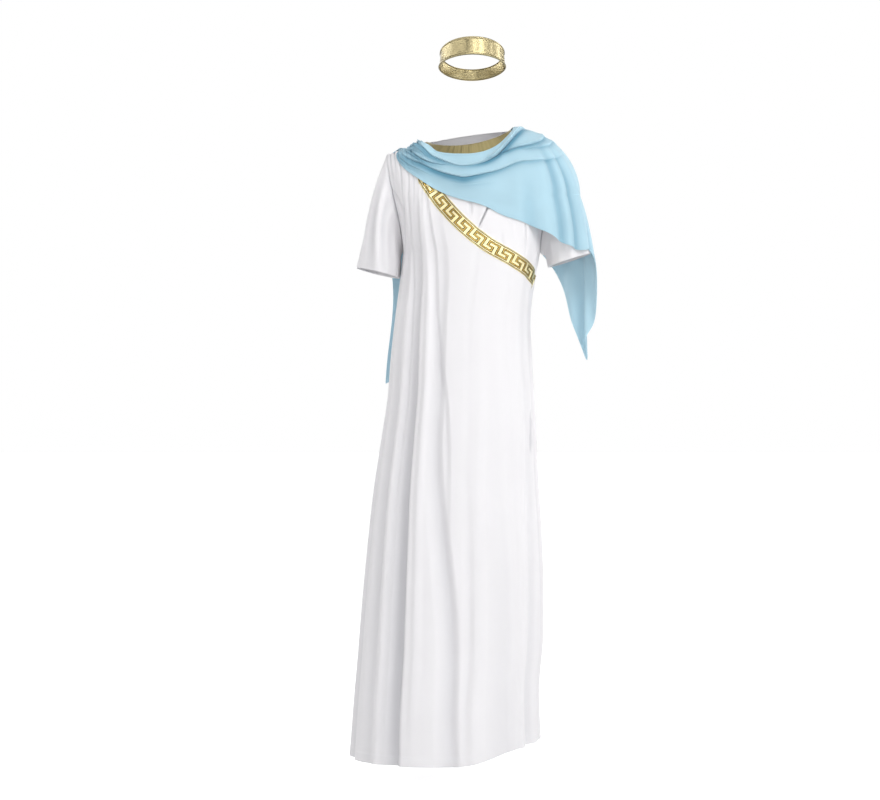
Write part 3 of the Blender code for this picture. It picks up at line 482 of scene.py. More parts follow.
def crinkled():
    """Fine soft wrinkles that run mostly down the cloth."""
    inputs = {"Scale": 26.0, "Stretch": 0.3}
    tree, given, out = group("crinkled", inputs, {"Height": "NodeSocketFloat"})
    place = tree.nodes.new("ShaderNodeTexCoord")
    split = tree.nodes.new("ShaderNodeSeparateXYZ")
    join = tree.nodes.new("ShaderNodeCombineXYZ")
    noise = tree.nodes.new("ShaderNodeTexNoise")
    noise.inputs["Detail"].default_value = 2
    noise.inputs["Roughness"].default_value = 0.45
    tree.links.new(place.outputs["Object"], split.inputs[0])
    tree.links.new(split.outputs["X"], join.inputs["X"])
    tree.links.new(split.outputs["Y"], join.inputs["Y"])
    tree.links.new(maths(tree, "MULTIPLY", split.outputs["Z"], given.outputs["Stretch"]), join.inputs["Z"])
    tree.links.new(join.outputs[0], noise.inputs["Vector"])
    tree.links.new(given.outputs["Scale"], noise.inputs["Scale"])
    tree.links.new(noise.outputs["Fac"], out.inputs[0])
    return tree


WOVEN, CLOUDED_WITH_PAINTED_SHADE, CRINKLED = woven(), clouded_with_painted_shade(), crinkled()


def placed(finish, tree, **values):
    """A shader group in a finish, with its own values."""
    node = finish.node_tree.nodes.new("ShaderNodeGroup")
    node.node_tree = tree
    for label, value in values.items():
        node.inputs[label].default_value = value
    return node


def raised(finish, height, distance, below=None):
    """Makes a height show as relief, on top of the relief below it."""
    node = finish.node_tree.nodes.new("ShaderNodeBump")
    node.inputs["Distance"].default_value = distance
    finish.node_tree.links.new(height, node.inputs["Height"])
    if below is not None:
        finish.node_tree.links.new(below, node.inputs["Normal"])
    return node.outputs["Normal"]


def cloth_finish(name, colour, roughness, threads, deep=None, sheen=0.0, metallic=0.0, cloud=0.06,
                 wrinkle=0.0007, stretch=0.3):
    """A woven cloth: uneven colour with a painted shade in its folds, fine wrinkles, and threads over them.
    """
    finish = bpy.data.materials.new(name)
    finish.use_nodes = True
    links = finish.node_tree.links
    surface = finish.node_tree.nodes["Principled BSDF"]
    surface.inputs["Roughness"].default_value = roughness
    surface.inputs["Metallic"].default_value = metallic
    surface.inputs["Sheen Weight"].default_value = sheen
    surface.inputs["Sheen Roughness"].default_value = SHEEN_ROUGHNESS
    # the deep colour is the painted shade of the folds
    tint = placed(finish, CLOUDED_WITH_PAINTED_SHADE, Colour=(*colour, 1), Deep=(*(deep or colour), 1), Amount=cloud)
    links.new(tint.outputs[0], surface.inputs["Base Color"])
    wrinkles = raised(finish, placed(finish, CRINKLED, Stretch=stretch).outputs[0], wrinkle)
    weave = raised(finish, placed(finish, WOVEN, Threads=threads).outputs[0], WEAVE_RAISE, wrinkles)
    links.new(weave, surface.inputs["Normal"])
    return finish


def seam_line(grid, normal, measure, value):
    """Places just above a cloth where a measure across it has a value, column by column."""
    raised_grid = grid + normal * STITCH_LIFT
    line = []
    for c in range(grid.shape[1]):
        order = np.argsort(measure[:, c])
        line.append([np.interp(value, measure[order, c], raised_grid[order, c, k]) for k in range(3)])
    return np.array(line)


def stitch_tree(thread):
    """Geometry nodes that set small rounded stitches along lines, at an even pitch."""
    tree = bpy.data.node_groups.new("stitches", "GeometryNodeTree")
    tree.interface.new_socket("Lines", in_out="INPUT", socket_type="NodeSocketGeometry")
    sizes = {}
    for label in ("Pitch", "Length", "Radius"):
        socket = tree.interface.new_socket(label, in_out="INPUT", socket_type="NodeSocketFloat")
        sizes[label] = socket.identifier
    tree.interface.new_socket("Stitches", in_out="OUTPUT", socket_type="NodeSocketGeometry")
    nodes, links = tree.nodes, tree.links
    given, out = nodes.new("NodeGroupInput"), nodes.new("NodeGroupOutput")
    curve, even = nodes.new("GeometryNodeMeshToCurve"), nodes.new("GeometryNodeResampleCurve")
    even.mode = "LENGTH"
    ball, place = nodes.new("GeometryNodeMeshUVSphere"), nodes.new("GeometryNodeInstanceOnPoints")
    ball.inputs["Segments"].default_value, ball.inputs["Rings"].default_value = STITCH_SIDES
    ball.inputs["Radius"].default_value = 1.0
    along, turn = nodes.new("GeometryNodeInputTangent"), nodes.new("FunctionNodeAlignRotationToVector")
    turn.axis = "Z"
    half, scale = nodes.new("ShaderNodeMath"), nodes.new("ShaderNodeCombineXYZ")
    half.operation = "MULTIPLY"
    half.inputs[1].default_value = 0.5
    real, paint = nodes.new("GeometryNodeRealizeInstances"), nodes.new("GeometryNodeSetMaterial")
    paint.inputs["Material"].default_value = thread
    links.new(given.outputs["Lines"], curve.inputs["Mesh"])
    links.new(curve.outputs["Curve"], even.inputs["Curve"])
    links.new(given.outputs["Pitch"], even.inputs["Length"])
    links.new(even.outputs["Curve"], place.inputs["Points"])
    links.new(ball.outputs["Mesh"], place.inputs["Instance"])
    links.new(along.outputs["Tangent"], turn.inputs["Vector"])
    links.new(turn.outputs["Rotation"], place.inputs["Rotation"])
    links.new(given.outputs["Length"], half.inputs[0])
    for axis in ("X", "Y"):
        links.new(given.outputs["Radius"], scale.inputs[axis])
    links.new(half.outputs[0], scale.inputs["Z"])
    links.new(scale.outputs[0], place.inputs["Scale"])
    links.new(place.outputs["Instances"], real.inputs["Geometry"])
    links.new(real.outputs["Geometry"], paint.inputs["Geometry"])
    links.new(paint.outputs["Geometry"], out.inputs["Stitches"])
    return tree, sizes


def thread(name, colour, metallic=0.0):
    """A fine sewing thread."""
    finish = bpy.data.materials.new(name)
    finish.use_nodes = True
    surface = finish.node_tree.nodes["Principled BSDF"]
    surface.inputs["Base Color"].default_value = (*colour, 1)
    surface.inputs["Roughness"].default_value = THREAD_ROUGHNESS
    surface.inputs["Metallic"].default_value = metallic
    return finish


def stitches(name, lines, finish, closed=False):
    """Rows of stitches along lines, as one plain mesh that goes with the garment."""
    points, edges = [], []
    for line in lines:
        start, count = len(points), len(line)
        points += [tuple(p) for p in line]
        edges += [(start + k, start + k + 1) for k in range(count - 1)]
        if closed:
            edges.append((start + count - 1, start))
    mesh = bpy.data.meshes.new(name + "_lines")
    mesh.from_pydata(points, edges, [])
    made = bpy.data.objects.new(name, mesh)
    bpy.context.scene.collection.objects.link(made)
    tree, sizes = stitch_tree(finish)
    modifier = made.modifiers.new("stitches", "NODES")
    modifier.node_group = tree
    for label, value in (("Pitch", STITCH_PITCH), ("Length", STITCH_LENGTH), ("Radius", STITCH_RADIUS)):
        modifier[sizes[label]] = value
    seen = made.evaluated_get(bpy.context.evaluated_depsgraph_get())
    sewn = bpy.data.meshes.new_from_object(seen)
    made.modifiers.clear()
    made.data = sewn
    sewn.shade_smooth()
    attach(made, "root")
    return made


def section(z):
    """The tunic's section at a height: right, left, front, back, squareness."""
    heights = -column(SECTIONS, SECTION_COLUMNS, "z")
    return [float(smooth(-z, heights, column(SECTIONS, SECTION_COLUMNS, n))) for n in SECTION_COLUMNS[1:]]


def across(z, side, shares):
    """Points across the front (side -1) or the back (side 1) at a height, at shares of the cloth's width."""
    right, left, front, back, square = section(z)
    angle = np.linspace(math.pi, 0, SECTION_STEPS)
    cos, sin = np.cos(angle), np.sin(angle)
    x = (left + right) / 2 + (left - right) / 2 * np.sign(cos) * np.abs(cos) ** (2 / square)
    y = (front + back) / 2 + side * (back - front) / 2 * np.abs(sin) ** (2 / square)
    run = np.concatenate([[0], np.cumsum(np.hypot(np.diff(x), np.diff(y)))])
    return np.interp(shares * run[-1], run, x), np.interp(shares * run[-1], run, y)


def neck_shares():
    """Where the neck opening starts and ends along a panel's upper edge, as shares of its length."""
    right = math.dist(SHOULDER_RIGHT, NECK_RIGHT)
    left = math.dist(NECK_LEFT, SHOULDER_LEFT)
    whole = right + left + math.dist(NECK_RIGHT, NECK_LEFT) * NECK_CURVE
    return right / whole, 1 - left / whole


SHARE_NECK_RIGHT, SHARE_NECK_LEFT = neck_shares()


def top_edge(side, shares):
    """The upper edge of a panel: right shoulder seam, neck opening, left shoulder seam."""
    neck_y, drop = (NECK_FRONT_Y, NECK_FRONT_DROP) if side < 0 else (NECK_BACK_Y, NECK_BACK_DROP)
    turn = np.linspace(0, math.pi, NECK_STEPS)
    right, left = np.array(NECK_RIGHT), np.array(NECK_LEFT)
    mix = ((1 - np.cos(turn)) / 2)[:, None]
    neck = right * (1 - mix) + left * mix
    neck[:, 1] += neck_y * np.sin(turn)
    neck[:, 2] -= drop * np.sin(turn) ** NECK_SCOOP
    seam = np.linspace(0, 1, SHOULDER_STEPS)[:, None]
    parts = (
        np.array(SHOULDER_RIGHT) * (1 - seam) + right * seam,
        neck,
        left * (1 - seam) + np.array(SHOULDER_LEFT) * seam,
    )
    knots = (0, SHARE_NECK_RIGHT, SHARE_NECK_LEFT, 1)
    at = np.concatenate([np.linspace(knots[i], knots[i + 1], len(p)) for i, p in enumerate(parts)])
    line = np.concatenate(parts)
    return np.stack([np.interp(shares, at, line[:, k]) for k in range(3)], axis=1)


def upper_part(side, shares):
    """A panel from the shoulder and neck down to the armpit's height."""
    top = top_edge(side, shares)
    x, y = across(ARMPIT_Z, side, shares)
    neck_middle = (SHARE_NECK_RIGHT + SHARE_NECK_LEFT) / 2
    neck_width = SHARE_NECK_LEFT - SHARE_NECK_RIGHT
    start = SLOPE_AT_NECK * bump((shares - neck_middle) / neck_width * SLOPE_SPREAD)
    near_side = bump(shares / ARMHOLE_REACH) + bump((1 - shares) / ARMHOLE_REACH)
    grid = []
    for t in np.linspace(0, 1, UPPER_ROWS):
        angle = start + (math.pi / 2 - start) * t
        forward = (np.sin(angle) - np.sin(start)) / (1 - np.sin(start))
        fall = np.cos(angle) / np.cos(start)
        inward = t * (1 - near_side) + ease(t) ** ARMHOLE_HOLD * near_side
        bow = side * ARMHOLE_BOW[side] * near_side * math.sin(math.pi * t)
        px = top[:, 0] + (x - top[:, 0]) * inward
        py = top[:, 1] + (y - top[:, 1]) * forward + bow
        grid.append(np.stack([px, py, ARMPIT_Z + (top[:, 2] - ARMPIT_Z) * fall], axis=1))
    return np.array(grid)


def hem_height(x):
    """The hem is level on the right and rises to the left."""
    return HEM_Z_RIGHT + (HEM_Z_LEFT - HEM_Z_RIGHT) * ease((x - HEM_RISE_FROM_X) / HEM_RISE_WIDTH)


def lower_part(side, shares):
    """A panel from the armpit's height to the hem, with close rows where the hem is turned up."""
    hem_x, _ = across(HEM_Z_RIGHT, side, shares)
    hem = hem_height(hem_x)
    drop = ARMPIT_Z - HEM_Z_RIGHT
    steps = np.linspace(0, 1 - HEM_ROWS[0] * ROWS_ABOVE_HEM / drop, LOWER_ROWS)[1:]
    steps = np.concatenate([steps, 1 - np.array(HEM_ROWS) / drop, [1]])
    grid = []
    for t in steps:
        x, y = across(ARMPIT_Z + (HEM_Z_RIGHT - ARMPIT_Z) * t, side, shares)
        grid.append(np.stack([x, y, ARMPIT_Z + (hem - ARMPIT_Z) * t], axis=1))
    return np.array(grid)


def fold_depths(grid, shares, folds):
    """How deep the hanging folds and creases are at each point of a panel."""
    z = grid[:, :, 2]
    heights = -np.array(FOLD_HEIGHTS)
    depth = np.zeros(z.shape)
    for places, depths, (before, after) in folds:
        away = shares[None, :] - smooth(-z, heights, places)
        depth += smooth(-z, heights, depths) * bump(away / np.where(away < 0, before, after) / FOLD_TAIL)
    from_z, over = FOLD_START
    return depth * ease((from_z - z) / over)


def crease_depths(grid, shares):
    """How deep the short creases are at each point of the front."""
    z = grid[:, :, 2]
    depth = np.zeros(z.shape)
    for row in SHORT_CREASES:
        crease = dict(zip(CREASE_COLUMNS, row))
        along = (crease["upper_z"] - z) / (crease["upper_z"] - crease["lower_z"])
        line = crease["upper_share"] + (crease["lower_share"] - crease["upper_share"]) * along
        fade = ease(along / CREASE_ENDS) * ease((1 - along) / CREASE_ENDS)
        depth += crease["depth"] * fade * bump((shares[None, :] - line) / crease["width"])
    return depth


def gather_depths(shares, rows_t):
    """The narrow valleys between the small pleats that fan down from the right shoulder seam."""
    depth = np.zeros((len(rows_t), len(shares)))
    for row in SHOULDER_GATHERS:
        gather = dict(zip(GATHER_COLUMNS, row))
        line = gather["seam_share"] + (gather["low_share"] - gather["seam_share"]) * rows_t[:, None]
        wider = gather["width"] * (1 + rows_t[:, None])
        fade = 1 - ease(rows_t / gather["reach"])[:, None]
        depth += gather["depth"] * fade * bump((shares[None, :] - line) / wider)
    return depth


def panel(side, folds):
    """Outer points of the front (side -1) or the back (side 1), their normals, and the painted shade of its
    folds, creases and gathers.
    """
    edge = np.array(SEAM_COLUMNS)
    even = np.linspace(PANEL_COLUMNS_FROM, 1 - PANEL_COLUMNS_FROM, PANEL_COLUMNS[side])
    shares = np.concatenate([edge, even, 1 - edge[::-1]])
    upper = upper_part(side, shares)
    grid = np.concatenate([upper, lower_part(side, shares)])
    outward = np.array([0, side, 0])
    rows_t = np.concatenate([np.linspace(0, 1, UPPER_ROWS), np.ones(len(grid) - UPPER_ROWS)])
    gathered, folded = gather_depths(shares, rows_t), fold_depths(grid, shares, folds)
    creased = crease_depths(grid, shares) if side < 0 else np.zeros(gathered.shape)
    heights = -gathered - folded - creased
    # painted shade: the colour is made darker in the folds, creases and gathers, where shade falls
    dark = folded.clip(0) / FOLD_DEEP + creased / CREASE_DEEP + gathered / GATHER_DEEP
    grid = grid + normals_of(grid, outward) * heights[:, :, None]
    at_shoulder = (shares <= SHARE_NECK_RIGHT) | (shares >= SHARE_NECK_LEFT)
    grid[0, at_shoulder, 1] = 0
    grid[:, :, 1] += side * SEAM_GAP / 2
    normal = normals_of(grid, outward)
    normal[0, at_shoulder] = kept_in_plane(normal[0, at_shoulder], 1)
    normal[1:UPPER_ROWS - 1, [0, -1]] = kept_in_plane(normal[1:UPPER_ROWS - 1, [0, -1]], 0)
    normal[UPPER_ROWS - 1:, [0, -1]] = kept_in_plane(normal[UPPER_ROWS - 1:, [0, -1]], 1)
    return grid, normal, dark


def from_edges(grid):
    """Metres from each point to the left and right edges and the top and bottom edges of a grid."""
    along = np.linalg.norm(np.diff(grid, axis=1), axis=2).cumsum(axis=1)
    down = np.linalg.norm(np.diff(grid, axis=0), axis=2).cumsum(axis=0)
    along = np.pad(along, ((0, 0), (1, 0)))
    down = np.pad(down, ((1, 0), (0, 0)))
    sides = np.minimum(along, along[:, -1:] - along)
    return sides, down, down[-1:] - down


def sewn_panel(name, grid, normal, dark, finish):
    """A panel with its seams turned in and its hem turned up."""
    sides, top, bottom = from_edges(grid)
    seam = np.minimum(sides, top)
    dip = SEAM_DIP * (1 - ease(seam / SEAM_TURN))
    hem = ease((HEM_TURN + HEM_STEP / 2 - bottom) / HEM_STEP)
    hem *= ease(bottom / EDGE_ROUND)
    outer = grid + normal * (HEM_RAISE * hem - dip)[:, :, None]
    inner = grid - normal * (dip + THIN + HEM_RAISE * hem)[:, :, None]
    # painted shade along the seams, where the cloth turns in
    return shell(name, outer, inner, [finish], dark=dark + SEAM_DARK * (1 - ease(seam / SEAM_SHADE)))


# Its deep colour is the painted shade of the folds, creases, gathers and seams.
WHITE = cloth_finish("white_polyester", colour=(0.835, 0.825, 0.84), deep=(0.61, 0.61, 0.635),
                     roughness=0.62, sheen=0.18, threads=1500)
front, front_normal, front_painted_shade = panel(-1, FRONT_FOLDS)
back, back_normal, back_painted_shade = panel(1, BACK_FOLDS)
front_cloth = sewn_panel("front_cloth", front, front_normal, front_painted_shade, WHITE)
back_cloth = sewn_panel("back_cloth", back, back_normal, back_painted_shade, WHITE)
WHITE_THREAD = thread("white_thread", colour=(0.80, 0.80, 0.82))
for piece, node, grid, normal, beside in (
    (front_cloth, "tunic_front", front, front_normal, back_cloth),
    (back_cloth, "tunic_back", back, back_normal, front_cloth),
):
    hem = seam_line(grid, normal, from_edges(grid)[2], HEM_TURN - HEM_STITCH)
    row = stitches(f"{node}_hem_stitches", [hem], WHITE_THREAD)
    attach(piece, "root")
    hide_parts(node)


# The sleeves: short white sleeves, one piece each, set into the armholes and hemmed at the cuff. They
# hang down and out from the shoulder, with a few soft folds from the armhole to the cuff. A painted shade
# darkens their folds and the cloth beside the armhole; in the left one, which lies half under the drape,
# the painted shade of the folds is weaker.
ARMHOLE_GAP = 0.0002
ARMHOLE_DARK = 0.9        # how much painted shade lies beside the armhole, below the shoulder
ARMHOLE_SHADE = 0.075     # and over which share of the sleeve's length
ARMHOLE_DARK_FROM = (0.08, 0.20)
# a sleeve fold of this depth has the full painted shade
SLEEVE_DEEP = 0.012
CUFF_TURN = 0.016
SLEEVES = {
    "sleeve_right": {"side": -1, "cuff": (-0.2205, 0.004, -0.309), "half": (0.0505, 0.076), "lift": 0.012,
                     "shade": 1.0},
    "sleeve_left": {"side": 1, "cuff": (0.2290, 0.004, -0.279), "half": (0.0500, 0.074), "lift": 0.016,
                    "shade": 0.3},
}
SLEEVE_THROW_TOP = (0.35, -0.94, 0.26)
SLEEVE_THROW_FRONT = (0.62, -0.60, 0.17)
SLEEVE_THROW_UNDER = (0.60, -0.80, 0.05)
SLEEVE_HANG = (0.024, 0.0, -0.12)
SLEEVE_LEAN = 0.35
SLEEVE_FOLD_FROM = 0.12   # share of its length over which a sleeve's folds begin
SLEEVE_FOLD_TAIL = 1.5
SLEEVE_COLUMNS = 168
SLEEVE_ROWS = 46
SLEEVE_ROWS_TO = 0.92
CUFF_ROWS = (0.93, 0.945, 0.951, 0.957, 0.965, 0.98, 0.991, 0.997, 1.0)

# Folds of a sleeve: place round it at the armhole and the cuff (0 the shoulder, a quarter the front),
# half width, and depth at the armhole, halfway and at the cuff
SLEEVE_FOLDS = (
    (0.020, 0.045, 0.030, 0.0010, 0.0024, 0.0006),
    (0.085, 0.120, 0.030, 0.0012, -0.0028, -0.0010),
    (0.140, 0.190, 0.032, 0.0020, 0.0042, 0.0016),
    (0.200, 0.245, 0.028, 0.0010, -0.0024, -0.0014),
    (0.255, 0.300, 0.030, 0.0024, 0.0046, 0.0014),
    (0.330, 0.360, 0.030, 0.0016, 0.0026, 0.0000),
    (0.640, 0.620, 0.030, 0.0016, 0.0030, 0.0010),
    (0.740, 0.720, 0.032, 0.0020, 0.0044, 0.0020),
    (0.800, 0.790, 0.028, 0.0010, -0.0024, -0.0012),
    (0.865, 0.850, 0.032, 0.0018, 0.0040, 0.0014),
    (0.950, 0.930, 0.030, 0.0010, 0.0022, 0.0006),
)


def armhole(side):
    """The armhole's edge, from the shoulder down the front to the armpit and up the back."""
    edge = 0 if side < 0 else -1
    ring = np.concatenate([front[:UPPER_ROWS, edge], back[1:UPPER_ROWS - 1, edge][::-1]])
    closed = np.concatenate([ring, ring[:1]])
    run = np.concatenate([[0], np.cumsum(np.linalg.norm(np.diff(closed, axis=0), axis=1))])
    at = np.linspace(0, run[-1], SLEEVE_COLUMNS, endpoint=False)
    return np.stack([np.interp(at, run, closed[:, k]) for k in range(3)], axis=1), at / run[-1]


def throw(share, side):
    """The direction and strength with which the sleeve leaves the armhole, by the share of the way round."""
    places = (0, 0.25, 0.5, 0.75, 1)
    keys = (SLEEVE_THROW_TOP, SLEEVE_THROW_FRONT, SLEEVE_THROW_UNDER, SLEEVE_THROW_FRONT, SLEEVE_THROW_TOP)
    out, up, length = (smooth(share, places, [k[i] for k in keys]) for i in range(3))
    vector = np.stack([side * out, -SLEEVE_LEAN * np.sin(2 * math.pi * share), up], axis=1)
    return vector / np.linalg.norm(vector, axis=1, keepdims=True) * length[:, None]


def ring_normals(grid):
    """Outward normals of a grid whose columns close round a hollow."""
    wrapped = np.concatenate([grid[:, -1:], grid, grid[:, :1]], axis=1)
    return normals_of(wrapped, wrapped - wrapped.mean(axis=1, keepdims=True))[:, 1:-1]


def ring_closed(grid):
    """A grid with its first column again at the end, where its columns close round a hollow."""
    return np.concatenate([grid, grid[:, :1]], axis=1)


def sleeve(facts):
    """Outer points of a sleeve, from the armhole to the cuff, their normals, and their painted shade."""
    side = facts["side"]
    root, share = armhole(side)
    root = root + np.array([side * ARMHOLE_GAP, 0, 0])
    angle = 2 * math.pi * share
    middle, (hx, hy) = facts["cuff"], facts["half"]
    cuff = np.array(middle) + np.stack(
        [side * hx * np.cos(angle), -hy * np.sin(angle), facts["lift"] * np.cos(angle)], axis=1)
    leave, arrive = throw(share, side), np.array(SLEEVE_HANG) * (side, 1, 1)
    steps = np.concatenate([np.linspace(0, SLEEVE_ROWS_TO, SLEEVE_ROWS), CUFF_ROWS])
    grid = np.array([
        (2 * t**3 - 3 * t**2 + 1) * root + (t**3 - 2 * t**2 + t) * leave
        + (3 * t**2 - 2 * t**3) * cuff + (t**3 - t**2) * arrive
        for t in steps
    ])
    depth = np.zeros(grid.shape[:2])
    for at_root, at_cuff, width, *depths in SLEEVE_FOLDS:
        place = at_root + (at_cuff - at_root) * steps[:, None]
        size = (smooth(steps, (0, 0.5, 1), depths) * ease(steps / SLEEVE_FOLD_FROM))[:, None]
        depth += size * bump((share[None, :] - place) / (width * SLEEVE_FOLD_TAIL))
    grid = grid - ring_normals(grid) * depth[:, :, None]
    normal = ring_normals(grid)
    normal[0] = kept_in_plane(normal[0], 0)
    # painted shade beside the armhole below the shoulder, and in the folds, less in the left sleeve
    start, over = ARMHOLE_DARK_FROM
    below_shoulder = ease((0.5 - np.abs(share - 0.5) - start) / over)[None, :]
    beside = ARMHOLE_DARK * below_shoulder * (1 - ease(steps / ARMHOLE_SHADE))[:, None]
    return grid, normal, facts["shade"] * depth.clip(0) / SLEEVE_DEEP + beside


def sewn_sleeve(name, grid, normal, dark, finish):
    """A sleeve with its armhole seam turned in and its cuff turned up."""
    _, top, bottom = from_edges(grid)
    dip = SEAM_DIP * (1 - ease(top / SEAM_TURN))
    hem = ease((CUFF_TURN + HEM_STEP / 2 - bottom) / HEM_STEP) * ease(bottom / EDGE_ROUND)
    outer = grid + normal * (HEM_RAISE * hem - dip)[:, :, None]
    inner = grid - normal * (dip + THIN + HEM_RAISE * hem)[:, :, None]
    # painted shade along the armhole seam
    dark = dark + SEAM_DARK * (1 - ease(top / SEAM_SHADE))
    return shell(name, outer, inner, [finish], closed=True, dark=dark)


sleeve_grids = {}
for node, facts in SLEEVES.items():
    grid, normal, dark = sleeve(facts)
    sleeve_grids[node] = grid, normal
    piece = sewn_sleeve(f"{node}_cloth", grid, normal, dark, WHITE)
    cuff = seam_line(grid, normal, from_edges(grid)[2], CUFF_TURN - HEM_STITCH)
    row = stitches(f"{node}_cuff_stitches", [cuff], WHITE_THREAD, closed=True)
    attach(piece, "root")
    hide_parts(node)


# The neck band: a shaped band of matt gold lame laid round the neck opening, drawn up into small
# gathers at the middle of the front, its outer edge sewn down on the tunic.
BAND_CLOTH = 0.0007
NECK_BAND_WIDTH = 0.038
NECK_BAND_GAP = 0.0008
NECK_BAND_INSET = 0.0008
NECK_BAND_FLARE = 0.55
NECK_BAND_FALL = (0.30, 0.75)
NECK_BAND_COLUMNS = 300
NECK_BAND_ROWS = 26
NECK_GATHER_FULL = 1.5    # how much fuller the gathers are than their table says
NECK_GATHER_LOSS = 0.45   # share of their height that they lose by the band's outer edge
NECK_BAND_EDGE = 0.4      # share of the cloth's thickness at the band's edges
NECK_BAND_ROLL = (0.004, 0.003)  # over these distances it gets to its whole thickness
NECK_BAND_STITCH = 0.0022  # its stitches keep this far from its outer edge
NECK_BESIDE = 0.0012      # the slope beside a gather, in metres a column, at which the band has its full painted shade

# Small gathers of the neck band: direction round the neck (-90 the front), half width in degrees, height
NECK_GATHER_COLUMNS = ("turn", "width", "height")
NECK_GATHERS = (
    (-113, 3.2, 0.0012), (-107, 2.2, 0.0016), (-102, 2.0, 0.0010), (-97.5, 2.0, 0.0018), (-93, 1.8, 0.0012),
    (-88.5, 2.2, 0.0016), (-83, 2.4, 0.0010), (-76, 3.0, 0.0012), (-66, 4.0, 0.0008), (-124, 4.0, 0.0008),
    (-140, 5.0, 0.0006), (-50, 5.0, 0.0006), (-20, 6.0, 0.0006), (20, 6.0, 0.0006), (60, 5.0, 0.0008),
    (84, 4.0, 0.0010), (100, 4.0, 0.0010), (125, 5.0, 0.0008), (160, 6.0, 0.0006), (-165, 6.0, 0.0006),
)


def tree_of(*grids):
    """A search tree over the faces of one or more grids of points."""
    points, faces = [], []
    for grid in grids:
        rows, columns = grid.shape[:2]
        start = len(points)
        points += [Vector(p) for p in grid.reshape(-1, 3)]
        for r in range(rows - 1):
            for c in range(columns - 1):
                a = start + r * columns + c
                faces.append((a, a + 1, a + 1 + columns, a + columns))
    return BVHTree.FromPolygons(points, faces)


def padded_grid(values, closed, size=1):
    """A grid with its edges repeated, or wrapped round where its columns close."""
    rest = ((0, 0),) * (values.ndim - 2)
    values = np.pad(values, ((size, size), (0, 0), *rest), mode="edge")
    return np.pad(values, ((0, 0), (size, size), *rest), mode="wrap" if closed else "edge")


def softened(values, closed=False):
    """A grid of values averaged with their neighbours."""
    p = padded_grid(values, closed)
    return (p[1:-1, 1:-1] * 4 + p[:-2, 1:-1] + p[2:, 1:-1] + p[1:-1, :-2] + p[1:-1, 2:]) / 8


def greatest_near(values, size, closed=False):
    """A grid of values, each the greatest of those within size places of it."""
    for _ in range(size):
        p = padded_grid(values, closed)
        rows, columns = values.shape
        values = np.max([p[r:r + rows, c:c + columns] for r in range(3) for c in range(3)], axis=0)
    return values


def heights_under(tree, base, normal, reach):
    """How far out along the normals the cloth beneath is at each point of a grid."""
    under = np.full(base.shape[:2], -1.0)
    for index in np.ndindex(under.shape):
        origin = Vector(base[index] + normal[index] * reach)
        place, _, _, distance = tree.ray_cast(origin, Vector(-normal[index]), 2 * reach)
        if place is not None:
            under[index] = reach - distance
    return under


def nearest_on(tree, grid, middle_z=-0.30):
    """The nearest places of a cloth to a grid of points, and that cloth's outward normals there."""
    places, normals = np.zeros(grid.shape), np.zeros(grid.shape)
    for index in np.ndindex(grid.shape[:2]):
        place, normal, _, _ = tree.find_nearest(Vector(grid[index]))
        x, y, z = grid[index]
        if normal.dot(Vector((x, y, max(z - middle_z, 0.0)))) < 0:
            normal = -normal
        places[index], normals[index] = place, normal
    return places, normals


def laid_on(tree, grid, gap, closed=False, evening=4, reach=0.03, near=1):
    """A grid laid on a cloth: moved to it, its normals evened, and held clear of every crease under it."""
    places, normals = nearest_on(tree, grid)
    for _ in range(evening):
        normals, places = softened(normals, closed), softened(places, closed)
    normals /= np.linalg.norm(normals, axis=2, keepdims=True)
    under = heights_under(tree, places, normals, reach)
    height = greatest_near(np.where(under > -1, under, 0.0), near, closed) + gap
    for _ in range(evening):
        height = np.maximum(softened(height, closed), under + gap)
    return places + normals * height[:, :, None], normals


def neck_band_plan():
    """The neck band's points before they are laid on the tunic, and its gathers' heights."""
    turn = np.linspace(0, 2 * math.pi, NECK_BAND_COLUMNS, endpoint=False)
    middle = (np.array(NECK_RIGHT) + np.array(NECK_LEFT)) / 2
    half = (NECK_LEFT[0] - NECK_RIGHT[0]) / 2
    sin, cos = np.sin(turn), np.cos(turn)
    depth = np.where(sin < 0, -NECK_FRONT_Y, NECK_BACK_Y)
    drop = np.where(sin < 0, NECK_FRONT_DROP, NECK_BACK_DROP)
    tilt = (NECK_LEFT[2] - NECK_RIGHT[2]) / 2
    side_fall, more_fall = NECK_BAND_FALL
    grid = []
    for out in np.linspace(NECK_BAND_INSET, NECK_BAND_WIDTH, NECK_BAND_ROWS):
        fall = drop * np.abs(sin) ** NECK_SCOOP + out * (side_fall + more_fall * np.abs(sin))
        grid.append(np.stack([
            middle[0] + (half + out) * cos,
            (depth + out * NECK_BAND_FLARE) * sin,
            middle[2] + tilt * cos - fall,
        ], axis=1))
    degrees = (np.degrees(turn) + 180) % 360 - 180
    height = np.zeros(len(turn))
    for row in NECK_GATHERS:
        gather = dict(zip(NECK_GATHER_COLUMNS, row))
        away = (degrees - gather["turn"] + 180) % 360 - 180
        height += NECK_GATHER_FULL * gather["height"] * np.exp(-(away / gather["width"]) ** 2)
    down = np.linspace(0, 1, NECK_BAND_ROWS)
    return np.array(grid), height[None, :] * (1 - NECK_GATHER_LOSS * down[:, None])


